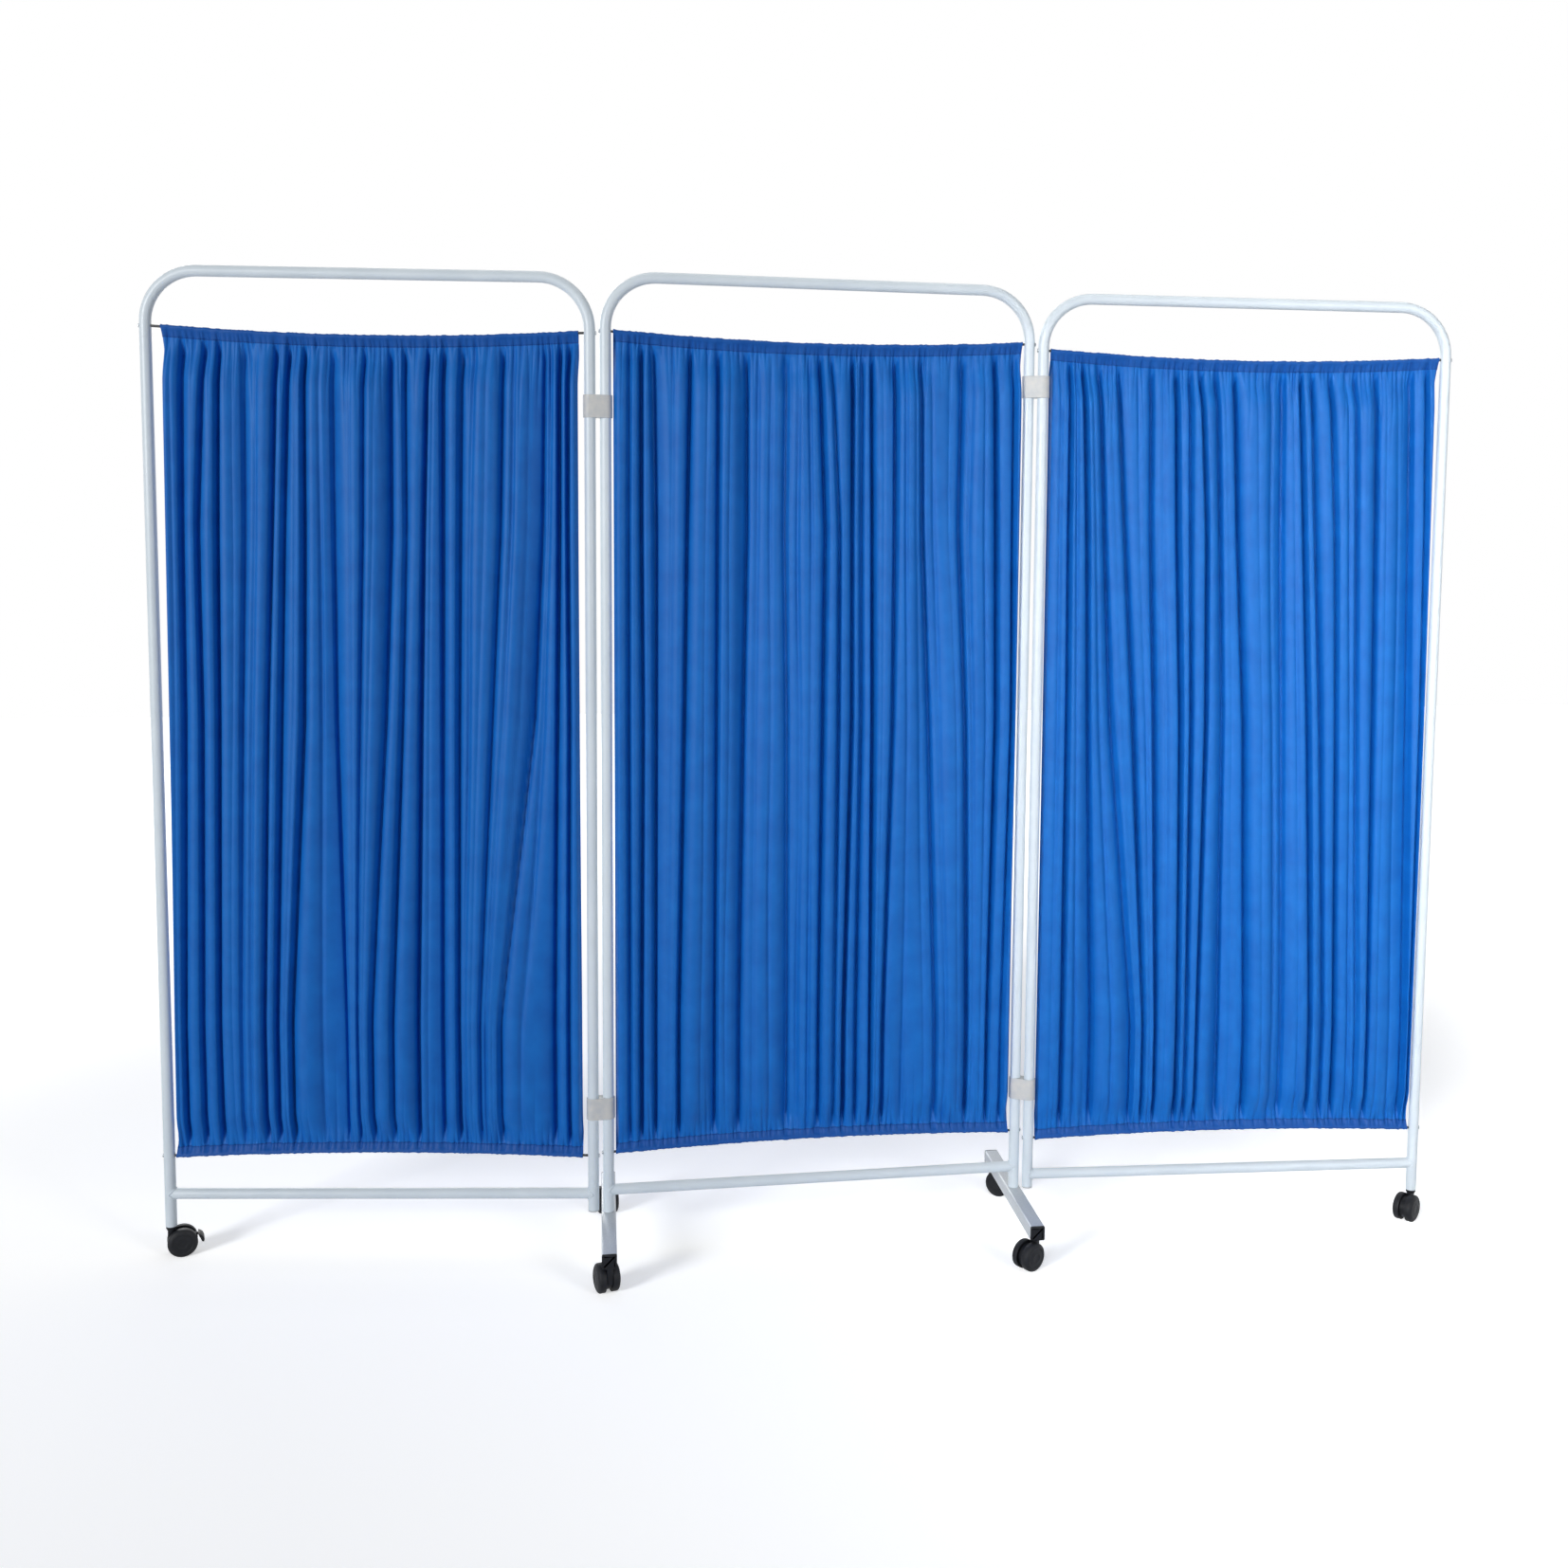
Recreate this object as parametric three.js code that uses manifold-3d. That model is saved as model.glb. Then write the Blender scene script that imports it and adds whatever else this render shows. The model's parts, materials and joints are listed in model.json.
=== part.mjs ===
// Ward privacy screen on wheels: three hinged panels of bent steel tube, each with a gathered curtain
// stretched between an upper and a lower wire. The middle panel stands on two square foot tubes with a
// twin-wheel caster under each end. Each side panel hangs in hinge clips on the middle panel's post and
// rolls on one caster in the end of its outer post.
// Millimetres and degrees, +Z up. The origin is on the floor, under the middle of the screen's outline.

import * as THREE from 'three';
import { mergeVertices } from 'three/addons/utils/BufferGeometryUtils.js';
import Module from 'manifold-3d';

const wasm = await Module();
wasm.setup();

// Frames: bent tube with a straight rail between the posts
const screenHeight = 1700; // floor to the top of the middle frame
const postSpacing = 730; // between the axes of one panel's two posts
const tubeDiameter = 19;
const tubeWall = 1.2;
const bendRadius = 85; // of the tube's axis at the two top corners
const railRise = 38.5; // from the top of the foot tubes up to the rail's axis
const leftPanelDrop = 4; // how much lower than the middle panel the left panel hangs
const rightPanelDrop = 11; // and the right one
const innerPostLift = 2.5; // from the top of the foot tubes up to the end plug of a hinged post

// Hinge lines: two clips each, with the neighbouring posts side by side
const hingeGap = 7; // free space between the two posts in a clip
const clipHeight = 38;
const clipWall = 1.6;
const leftUpperClipDrop = 225; // from the top of the middle frame down to the clip's middle
const rightUpperClipDrop = 174;
const lowerClipRise = 149; // from the rail's axis up to the clip's middle

// The pose in the photograph, as turns about +Z in degrees: the clips and the side panels from the middle
// panel's plane, and each caster's trailing side from the middle panel's +X
const leftClipTurn = 4; // degrees
const leftPanelTurn = -8.5; // degrees
const rightClipTurn = -30; // degrees
const rightPanelTurn = -4.3; // degrees
const leftFrontCasterTurn = 105; // degrees
const leftBackCasterTurn = 95; // degrees
const rightFrontCasterTurn = -147; // degrees
const rightBackCasterTurn = -40; // degrees
const leftOuterCasterTurn = 14; // degrees
const rightOuterCasterTurn = -140; // degrees

// Feet of the middle panel
const footLength = 360; // over the two end caps
const footSide = 25; // the square tube's outer width and height
const footWall = 1.5;
const footCorner = 2.5;
const capThickness = 3; // of an end cap's plate
const capPlugDepth = 6;
const stemInset = 17; // from the outer face of an end cap to the caster's stem

// Bolt through a foot tube into the plugged end of the post on it
const boltShankDiameter = 8;
const boltHeadDiameter = 13;
const boltHeadHeight = 5;
const postPlugLength = 30;

// End plug of a hinged post
const endPlugLength = 15;
const endPlugHead = 2;

// Casters
const wheelDiameter = 50; // over the corners of the faceted tread
const wheelWidth = 17;
const axleDiameter = 5.4;
const axleHoldDepth = 9.7; // how far the axle reaches into each wheel
const wheelBoreExtra = 0.4; // free depth of a wheel's bore past the axle's end
const wheelSideGap = 0.6; // between a wheel and the caster's body
const casterTrail = 17; // from the stem's axis back to the axle
const casterBodyThickness = 10;
const casterBodyInset = 5.5; // how far the body's disc lies inside the tread
const casterNeckWidth = 14;
const footSeatRise = 2.5; // from the top of a wheel up to the underside of a foot tube
const postSeatRise = 4; // from the top of a wheel up to the end of an outer post
const stemPinDiameter = 6.4;
const stemPinDepth = 15; // below the stem's flange
const stemFlangeDiameter = 18;
const stemSocketLength = 36; // inside an outer post
const stemThreadDiameter = 8; // inside a foot tube
const stemNutDiameter = 13;
const stemNutHeight = 6.5;
const stemTipHeight = 5; // of the thread above the nut

// Brake lever of the left outer caster
const leverArmWidth = 4.4;
const leverPedalWidth = 24;
const leverPedalGap = 2.5; // between the tread and the pedal
const leverPinDiameter = 3;
const leverPinRun = 2.2; // how far the pin reaches past each side of the arm
const leverSlotHeight = 10;
const leverSlotTurn = 9; // the slot's rise towards the pedal, in degrees

// Curtain wires, each through both posts of its panel, with a rivet head outside each post
const topWireDrop = 100; // from the top of the frame down to the wire's ends
const bottomWireRise = 68; // from the rail's axis up to the wire's ends
const topWireSag = 13;
const bottomWireBow = 9;
const wireDiameter = 4.4;
const wireShankDiameter = 4; // where the wire passes through a post
const wireHeadDiameter = 7;
const wireHeadThickness = 2;
const wireHoleExtra = 1.2; // of the post's holes over the shank

// Curtains
const casingHeight = 20; // sewn band round the upper wire
const hemHeight = 18; // sewn band round the lower wire
const casingThickness = 8;
const clothThickness = 3;
const wireInset = 4.5; // from a curtain's top or bottom edge to its wire
const gatherHeight = 45; // over which the folds open out below the casing or above the hem
const foldDepth = 16; // from the crest of a fold to its bottom
const curtainClipGap = 1.4; // between a hinge clip and the curtain's side edge
const leftCurtainHingeGap = 5.7; // further back from the hinged post, on the left panel
const leftCurtainTopGap = 12.7; // further back from the outer post at the top, on the left panel
const wireTunnelExtra = 1.2; // of the casing's tunnel over the wire

// Clearance between pieces that seat on each other, and how far a cutting solid runs past a face
const fitGap = 0.3;
const overrun = 2;

// Facets
const tubeSides = 14;
const bendSteps = 5;
const squareCornerSteps = 1;
const wheelSides = 18;
const pinSides = 10;
const wireSides = 6;
const wireSteps = 8;
const clipArcSteps = 5;
const curtainColumns = 46;

// A wheel's half section, from the middle of its outer face over the tread to the edge of its bore,
// as shares of its radius and of its width from the inner face
const wheelSectionShares = [[0, 1], [0.56, 0.96], [0.9, 0.79], [1, 0.54], [1, 0.2], [0.93, 0]];
// The brake lever's outline seen from the side, from its pivot back to its tip and round again, as
// shares of the wheel's radius from the axle
const leverOutlineShares = [
  [0.36, 0.21], [0.88, 0.31], [1.1, 0.24], [1.24, -0.1], [1.37, -0.14], [1.41, 0.04], [1.31, 0.27],
  [1.13, 0.42], [0.9, 0.47], [0.36, 0.38],
];
const leverPivotShare = [0.43, 0.295];
// A curtain's main folds: how many waves cross it, how far they wander, and how deep a share each has
const foldWaveShares = [
  { waves: 9.5, wander: 0.5, depth: 0.72 },
  { waves: 4.2, wander: 0.9, depth: 0.28 },
];
// Where in a wave each curtain's folds begin
const foldPhaseShares = { left: 0, middle: 0.3, right: 0.6 };

// Sizes that follow
const tubeRadius = tubeDiameter / 2;
const boreRadius = tubeRadius - tubeWall;
const boreFlat = boreRadius * Math.cos(Math.PI / tubeSides); // from the axis to a flat of the bore
const postPlugRadius = boreFlat - fitGap;
const wheelRadius = wheelDiameter / 2;
const axleHeight = wheelRadius * Math.cos(Math.PI / wheelSides); // a flat of the tread lies on the floor
const footUnderside = wheelDiameter + footSeatRise;
const footTop = footUnderside + footSide;
const outerPostEnd = wheelDiameter + postSeatRise;
const hingedPostEnd = footTop + innerPostLift + endPlugHead + fitGap;
const hingePitch = tubeDiameter + hingeGap;
const clipBoreFlat = tubeRadius + fitGap;
const clipRadius = clipBoreFlat + clipWall;
const halfSpacing = postSpacing / 2;
const middleRailHeight = footTop + railRise;
const curtainEdge = clipRadius + curtainClipGap; // from a post's axis to a curtain's side edge
const middlePanel = { top: screenHeight, rail: middleRailHeight };
const leftPanel = { top: screenHeight - leftPanelDrop, rail: middleRailHeight - leftPanelDrop };
const rightPanel = { top: screenHeight - rightPanelDrop, rail: middleRailHeight - rightPanelDrop };

// Materials
function material(color, roughness, metalness) {
  return new THREE.MeshStandardMaterial({ color, roughness, metalness });
}
const whitePowderCoat = material(0xe2e8ec, 0.42, 0);
const silverPaint = material(0xa9b1b8, 0.45, 0.35);
const greyClipPlastic = material(0xb9bdc0, 0.55, 0);
const blackPlastic = material(0x17191f, 0.5, 0);
const blackTread = material(0x14161b, 0.62, 0);
const zincSteel = material(0x9ea3a8, 0.38, 0.9);
const blackWireCoat = material(0x1d2024, 0.5, 0);
const blueCurtainCloth = material(0x1b5cae, 0.85, 0);

// Solids for cuts and joins
function solidOf(geometry) {
  const bare = geometry.clone();
  bare.deleteAttribute('normal');
  bare.deleteAttribute('uv');
  const merged = mergeVertices(bare);
  return new wasm.Manifold(new wasm.Mesh({
    numProp: 3,
    vertProperties: merged.attributes.position.array,
    triVerts: new Uint32Array(merged.index.array),
  }));
}

function geometryOf(solid) {
  const mesh = solid.getMesh();
  const geometry = new THREE.BufferGeometry();
  geometry.setAttribute('position', new THREE.BufferAttribute(mesh.vertProperties, 3));
  geometry.setIndex(new THREE.BufferAttribute(mesh.triVerts, 1));
  return geometry;
}

function cut(geometry, cutters) {
  return geometryOf(cutters.reduce((solid, cutter) => solid.subtract(solidOf(cutter)), solidOf(geometry)));
}

function join(geometries) {
  return geometryOf(geometries.map(solidOf).reduce((whole, solid) => whole.add(solid)));
}

// Basic shapes
function ringPoints(radius, sides) {
  return Array.from({ length: sides }, (_, i) => {
    const angle = (2 * Math.PI * (i + 0.5)) / sides;
    return new THREE.Vector2(radius * Math.cos(angle), radius * Math.sin(angle));
  });
}

// A cylinder along +Z from low to high, with flats facing the axes
function rod(radius, low, high, sides) {
  return new THREE.ExtrudeGeometry(new THREE.Shape(ringPoints(radius, sides)), {
    depth: high - low,
    bevelEnabled: false,
  }).translate(0, 0, low);
}

function rodAlongX(radius, low, high, sides) {
  return rod(radius, low, high, sides).rotateY(Math.PI / 2);
}

// A cylinder along Y, centred on the XZ plane
function rodAlongY(radius, length, sides) {
  return rod(radius, -length / 2, length / 2, sides).rotateX(Math.PI / 2);
}

// A turned piece about +Z: its profile runs from the axis round to the axis again, as [radius, height]
function turned(profile, sides) {
  const points = profile.map(([radius, height]) => new THREE.Vector2(radius, height));
  return new THREE.LatheGeometry(points, sides, Math.PI / sides).rotateX(Math.PI / 2);
}

// A closed skin over rings of points, from the first ring to the last. Each end is closed by strips
// between a ring's first half and its second half, so a ring may be hollow on one side.
function skinOverRings(rings) {
  const sides = rings[0].length;
  const positions = rings.flat();
  const faces = [];
  for (let i = 0; i + 1 < rings.length; i += 1) {
    for (let j = 0; j < sides; j += 1) {
      const k = (j + 1) % sides;
      const [a, b, c, d] = [i * sides + j, i * sides + k, (i + 1) * sides + k, (i + 1) * sides + j];
      faces.push(a, b, c, a, c, d);
    }
  }
  const last = (rings.length - 1) * sides;
  for (let j = 0; j + 1 < sides / 2; j += 1) {
    const [a, b, c, d] = [j, j + 1, sides - 2 - j, sides - 1 - j];
    faces.push(a, c, b, a, d, c);
    faces.push(last + a, last + b, last + c, last + a, last + c, last + d);
  }
  const geometry = new THREE.BufferGeometry().setFromPoints(positions);
  geometry.setIndex(faces);
  return geometry;
}

// Frame: one bent tube, with holes for the wires through both posts

// The tube's axis as a row of stations, close together only in the bends
class BentTubeAxis extends THREE.Curve {
  constructor(stations) {
    super();
    this.stations = stations;
  }

  stationAt(share) {
    return this.stations[Math.round(share * (this.stations.length - 1))];
  }

  getPoint(share) {
    return this.stationAt(share).point.clone();
  }

  getPointAt(share) {
    return this.getPoint(share);
  }

  getTangentAt(share) {
    return this.stationAt(share).tangent.clone();
  }
}

function frameAxis(top, leftEnd, rightEnd) {
  const barHeight = top - tubeRadius;
  const station = (x, z, dx, dz) => ({
    point: new THREE.Vector3(x, 0, z),
    tangent: new THREE.Vector3(dx, 0, dz),
  });
  const stations = [station(-halfSpacing, leftEnd, 0, 1)];
  const bends = [-1, 1];
  for (const side of bends) {
    const centreX = side * (halfSpacing - bendRadius);
    for (let i = 0; i <= bendSteps; i += 1) {
      const turn = (side * (Math.PI / 2) * (side < 0 ? bendSteps - i : i)) / bendSteps;
      stations.push(station(
        centreX + bendRadius * Math.sin(turn),
        barHeight - bendRadius + bendRadius * Math.cos(turn),
        Math.cos(turn),
        -Math.sin(turn),
      ));
    }
  }
  stations.push(station(halfSpacing, rightEnd, 0, -1));
  return new BentTubeAxis(stations);
}

function wireHeights(panel) {
  return { top: panel.top - topWireDrop, bottom: panel.rail + bottomWireRise };
}

function frameGeometry(panel, leftEnd, rightEnd) {
  const section = new THREE.Shape(ringPoints(tubeRadius, tubeSides));
  section.holes.push(new THREE.Path(ringPoints(boreRadius, tubeSides)));
  const axis = frameAxis(panel.top, leftEnd, rightEnd);
  const tube = new THREE.ExtrudeGeometry(section, {
    extrudePath: axis,
    steps: axis.stations.length - 1,
    bevelEnabled: false,
  });
  const holeRadius = (wireShankDiameter + wireHoleExtra) / 2;
  const reach = tubeRadius + overrun;
  const holes = Object.values(wireHeights(panel)).flatMap((height) => [-halfSpacing, halfSpacing].map(
    (x) => rodAlongX(holeRadius, x - reach, x + reach, wireSides).translate(0, 0, height),
  ));
  return cut(tube, holes);
}

// Rail: a straight tube, hollowed at both ends to the roundness of the posts
function railGeometry(panel) {
  const tube = cut(rodAlongX(tubeRadius, -halfSpacing, halfSpacing, tubeSides), [
    rodAlongX(boreRadius, -halfSpacing - overrun, halfSpacing + overrun, tubeSides),
  ]);
  const copes = [-halfSpacing, halfSpacing].map(
    (x) => rod(tubeRadius + fitGap, -tubeDiameter, tubeDiameter, tubeSides).translate(x, 0, 0),
  );
  return cut(tube, copes).translate(0, 0, panel.rail);
}

// Wires: straight through the posts, and a shallow bow between them

// A wire's height at x: level through the posts, a parabola between them
function wireHeightAt(x, endHeight, dip) {
  const free = halfSpacing - tubeRadius - fitGap;
  const share = Math.min(Math.abs(x) / free, 1);
  return endHeight - dip * (1 - share * share);
}

function wireRing(x, radius, endHeight, dip) {
  const height = wireHeightAt(x, endHeight, dip);
  return ringPoints(radius, wireSides).map((p) => new THREE.Vector3(x, p.x, height + p.y));
}

function wireStations() {
  const free = halfSpacing - tubeRadius - fitGap;
  return Array.from({ length: wireSteps + 1 }, (_, i) => -free + (2 * free * i) / wireSteps);
}

function wireGeometry(endHeight, dip) {
  const free = halfSpacing - tubeRadius - fitGap;
  const seat = halfSpacing + tubeRadius + fitGap;
  const end = [
    [seat + wireHeadThickness, wireHeadDiameter / 2],
    [seat, wireHeadDiameter / 2],
    [seat, wireShankDiameter / 2],
    [free, wireShankDiameter / 2],
  ];
  const profile = [
    ...end.map(([x, radius]) => [-x, radius]),
    ...wireStations().map((x) => [x, wireDiameter / 2]),
    ...end.toReversed(),
  ];
  return skinOverRings(profile.map(([x, radius]) => wireRing(x, radius, endHeight, dip)));
}

// The round tunnel that a wire runs in through its casing, cut past the cloth at both sides
function wireTunnel(endHeight, dip) {
  const radius = (wireDiameter + wireTunnelExtra) / 2;
  return skinOverRings(wireStations().map((x) => wireRing(x, radius, endHeight, dip)));
}

// Curtain: a closed sheet, flat and thick in the casing and the hem, and folded between them

function foldOffset(across, up, phase) {
  return foldWaveShares.reduce((sum, { waves, wander, depth }, i) => {
    const drift = wander * Math.sin(2 * Math.PI * (across * (1 + i) + phase) + up);
    return sum + depth * Math.sin(2 * Math.PI * (waves * across + phase) + drift);
  }, 0) * (foldDepth / 2);
}

// gaps: how much further than curtainEdge the side edges lie from the posts, at the bottom and the top
function curtainGeometry(panel, gaps, phase) {
  const wires = wireHeights(panel);
  const rows = [
    { from: 'bottom', offset: -wireInset, open: 0 },
    { from: 'bottom', offset: hemHeight - wireInset, open: 0 },
    { from: 'bottom', offset: hemHeight - wireInset + gatherHeight, open: 1 },
    { from: 'middle', offset: 0, open: 1 },
    { from: 'top', offset: wireInset - casingHeight - gatherHeight, open: 1 },
    { from: 'top', offset: wireInset - casingHeight, open: 0 },
    { from: 'top', offset: wireInset, open: 0 },
  ];
  const pointAt = (row, across, side) => {
    const share = row.from === 'top' ? 1 : row.from === 'bottom' ? 0 : 0.5;
    const left = -halfSpacing + curtainEdge + THREE.MathUtils.lerp(gaps.leftBottom, gaps.leftTop, share);
    const right = halfSpacing - curtainEdge - THREE.MathUtils.lerp(gaps.rightBottom, gaps.rightTop, share);
    const x = THREE.MathUtils.lerp(left, right, across);
    const low = wireHeightAt(x, wires.bottom, -bottomWireBow);
    const high = wireHeightAt(x, wires.top, topWireSag);
    const z = THREE.MathUtils.lerp(low, high, share) + row.offset;
    const thickness = row.open ? clothThickness : casingThickness;
    const y = row.open * foldOffset(across, Math.PI * share, phase) + (side * thickness) / 2;
    return new THREE.Vector3(x, y, z);
  };
  const rings = Array.from({ length: curtainColumns + 1 }, (_, i) => {
    const across = i / curtainColumns;
    const front = rows.map((row) => pointAt(row, across, -1));
    const back = rows.map((row) => pointAt(row, across, 1)).reverse();
    return [...back, ...front];
  });
  return cut(skinOverRings(rings.map((ring) => ring.toReversed())), [
    wireTunnel(wires.top, topWireSag),
    wireTunnel(wires.bottom, -bottomWireBow),
  ]);
}

// Hinge clip: one plastic sleeve round two posts, flat in front and behind
function clipGeometry() {
  const outline = new THREE.Shape();
  outline.absarc(0, 0, clipRadius, Math.PI / 2, (3 * Math.PI) / 2, false);
  outline.absarc(hingePitch, 0, clipRadius, -Math.PI / 2, Math.PI / 2, false);
  const boreCorner = clipBoreFlat / Math.cos(Math.PI / tubeSides);
  for (const x of [0, hingePitch]) {
    const bore = ringPoints(boreCorner, tubeSides).map((p) => new THREE.Vector2(p.x + x, p.y));
    outline.holes.push(new THREE.Path(bore));
  }
  return new THREE.ExtrudeGeometry(outline, {
    depth: clipHeight,
    bevelEnabled: false,
    curveSegments: clipArcSteps,
  }).translate(0, 0, -clipHeight / 2);
}

// Foot tube, its end cap and the bolt up into the post

function squareShape(side, corner) {
  const half = side / 2;
  const shape = new THREE.Shape();
  const centre = half - corner;
  shape.absarc(centre, centre, corner, 0, Math.PI / 2, false);
  shape.absarc(-centre, centre, corner, Math.PI / 2, Math.PI, false);
  shape.absarc(-centre, -centre, corner, Math.PI, (3 * Math.PI) / 2, false);
  shape.absarc(centre, -centre, corner, (3 * Math.PI) / 2, 2 * Math.PI, false);
  return shape;
}

function squareBar(side, corner, low, high, bore) {
  const shape = squareShape(side, corner);
  if (bore) shape.holes.push(bore);
  return new THREE.ExtrudeGeometry(shape, {
    depth: high - low,
    bevelEnabled: false,
    curveSegments: squareCornerSteps,
  }).translate(0, 0, low).rotateX(Math.PI / 2);
}

const footBore = footSide - 2 * footWall;
const footBoreCorner = footCorner - footWall;
const footTubeEnd = footLength / 2 - capThickness - fitGap;
const stemPlace = footLength / 2 - stemInset;

function footGeometry() {
  const bore = new THREE.Path(squareShape(footBore, footBoreCorner).getPoints(squareCornerSteps));
  const tube = squareBar(footSide, footCorner, -footTubeEnd, footTubeEnd, bore);
  const stemHole = rod(stemThreadDiameter / 2 + fitGap, -footSide / 2 - overrun, 0, pinSides);
  const boltHole = rod(
    boltShankDiameter / 2 + fitGap,
    -footSide / 2 - overrun,
    footSide / 2 + overrun,
    pinSides,
  );
  return cut(tube, [
    boltHole,
    stemHole.clone().translate(0, -stemPlace, 0),
    stemHole.clone().translate(0, stemPlace, 0),
  ]).translate(0, 0, footUnderside + footSide / 2);
}

// An end cap for the end at -Y: a plate with a plug behind it
function capGeometry() {
  const plateBack = footLength / 2 - capThickness;
  const plate = squareBar(footSide, footCorner, plateBack, footLength / 2);
  const plugSide = footBore - 2 * fitGap;
  const plug = squareBar(plugSide, footBoreCorner, plateBack - capPlugDepth, footLength / 2 - capThickness / 2);
  return join([plate, plug]).translate(0, 0, footUnderside + footSide / 2);
}

function boltGeometry() {
  const headTop = footUnderside - fitGap;
  const plugLow = footTop + fitGap;
  return turned([
    [0, headTop - boltHeadHeight],
    [boltHeadDiameter / 2, headTop - boltHeadHeight],
    [boltHeadDiameter / 2, headTop],
    [boltShankDiameter / 2, headTop],
    [boltShankDiameter / 2, plugLow],
    [postPlugRadius, plugLow],
    [postPlugRadius, plugLow + postPlugLength],
    [0, plugLow + postPlugLength],
  ], pinSides);
}

function endPlugGeometry() {
  const head = hingedPostEnd - fitGap;
  return turned([
    [0, head - endPlugHead],
    [tubeRadius, head - endPlugHead],
    [tubeRadius, head],
    [postPlugRadius, head],
    [postPlugRadius, head + endPlugLength],
    [0, head + endPlugLength],
  ], tubeSides);
}

// Caster: a stem, a body with its axle behind the stem, and a wheel on each side of the body.
// All are made with the stem's axis as Z and the wheels trailing towards +X.

const bodyTop = wheelDiameter - fitGap;
const flangeLow = bodyTop + fitGap;
const stemHead = [
  [0, flangeLow - stemPinDepth],
  [stemPinDiameter / 2, flangeLow - stemPinDepth],
  [stemPinDiameter / 2, flangeLow],
  [stemFlangeDiameter / 2, flangeLow],
];

function postStemGeometry() {
  const flangeTop = outerPostEnd - fitGap;
  return turned([
    ...stemHead,
    [stemFlangeDiameter / 2, flangeTop],
    [postPlugRadius, flangeTop],
    [postPlugRadius, flangeTop + stemSocketLength],
    [0, flangeTop + stemSocketLength],
  ], pinSides);
}

function footStemGeometry() {
  const flangeTop = footUnderside - fitGap;
  const nutLow = footUnderside + footWall + fitGap;
  const nutTop = nutLow + stemNutHeight;
  return turned([
    ...stemHead,
    [stemFlangeDiameter / 2, flangeTop],
    [stemThreadDiameter / 2, flangeTop],
    [stemThreadDiameter / 2, nutLow],
    [stemNutDiameter / 2, nutLow],
    [stemNutDiameter / 2, nutTop],
    [stemThreadDiameter / 2, nutTop],
    [stemThreadDiameter / 2, nutTop + stemTipHeight],
    [0, nutTop + stemTipHeight],
  ], pinSides);
}

const leverPivot = leverPivotShare.map((share) => share * wheelRadius); // back and up from the axle
const bodyDiscRadius = wheelRadius - casterBodyInset;

function block(length, width, height) {
  return new THREE.BoxGeometry(length, width, height);
}

function casterBodyGeometry(hasBrake) {
  const neckHeight = bodyTop - axleHeight;
  const webLength = casterTrail + casterNeckWidth / 2;
  const disc = rodAlongY(bodyDiscRadius, casterBodyThickness, wheelSides)
    .translate(casterTrail, 0, axleHeight);
  const neck = block(casterNeckWidth, casterBodyThickness, neckHeight)
    .translate(0, 0, axleHeight + neckHeight / 2);
  const web = block(webLength, casterBodyThickness, bodyDiscRadius)
    .translate(casterTrail - webLength / 2, 0, axleHeight + bodyDiscRadius / 2);
  const cutters = [
    rod(stemPinDiameter / 2 + fitGap, flangeLow - stemPinDepth - fitGap, bodyTop + overrun, pinSides),
    rodAlongY(axleDiameter / 2 + fitGap, casterBodyThickness + 2 * overrun, pinSides)
      .translate(casterTrail, 0, axleHeight),
  ];
  if (hasBrake) {
    const slotWidth = leverArmWidth + 2 * fitGap;
    const slot = block(wheelRadius, slotWidth, leverSlotHeight)
      .translate(wheelRadius / 2 - leverPinDiameter, 0, 0)
      .rotateY(-THREE.MathUtils.degToRad(leverSlotTurn));
    const pinHole = rodAlongY(leverPinDiameter / 2 + fitGap, casterBodyThickness + 2 * overrun, pinSides);
    for (const cutter of [slot, pinHole]) {
      cutters.push(cutter.translate(casterTrail + leverPivot[0], 0, axleHeight + leverPivot[1]));
    }
  }
  return cut(join([disc, neck, web]), cutters);
}

function axleGeometry() {
  const length = casterBodyThickness + 2 * (wheelSideGap + axleHoldDepth);
  return rodAlongY(axleDiameter / 2, length, pinSides);
}

// A wheel on the +Y side of the body, about the axle, bored from its inner face
function wheelGeometry() {
  const inner = casterBodyThickness / 2 + wheelSideGap;
  const bore = axleDiameter / 2 + fitGap;
  const section = wheelSectionShares.map(([radius, width]) => [radius * wheelRadius, inner + width * wheelWidth]);
  const boreEnd = inner + axleHoldDepth + wheelBoreExtra;
  return turned([...section, [bore, inner], [bore, boreEnd], [0, boreEnd]].reverse(), wheelSides)
    .rotateX(-Math.PI / 2);
}

// The brake lever about the axle: a thin arm between the wheels, a pin through it and a wide pedal
function leverGeometry() {
  const outline = new THREE.Shape(leverOutlineShares.map(
    ([back, up]) => new THREE.Vector2(back * wheelRadius, up * wheelRadius),
  ));
  const plate = (width) => new THREE.ExtrudeGeometry(outline, { depth: width, bevelEnabled: false })
    .translate(0, 0, -width / 2).rotateX(Math.PI / 2);
  const clear = rodAlongY(wheelRadius + leverPedalGap, leverPedalWidth + 2 * overrun, 2 * wheelSides);
  const pin = rodAlongY(leverPinDiameter / 2, leverArmWidth + 2 * leverPinRun, pinSides)
    .translate(leverPivot[0], 0, leverPivot[1]);
  return join([plate(leverArmWidth), pin, cut(plate(leverPedalWidth), [clear])]);
}

// Assembly

function piece(name, geometry, finish, parent) {
  const mesh = new THREE.Mesh(geometry, finish);
  mesh.name = name;
  parent.add(mesh);
  return mesh;
}

function pivot(name, x, y, z, turn, parent) {
  const group = new THREE.Group();
  group.name = name;
  group.position.set(x, y, z);
  group.rotation.z = THREE.MathUtils.degToRad(turn);
  parent.add(group);
  return group;
}

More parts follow.
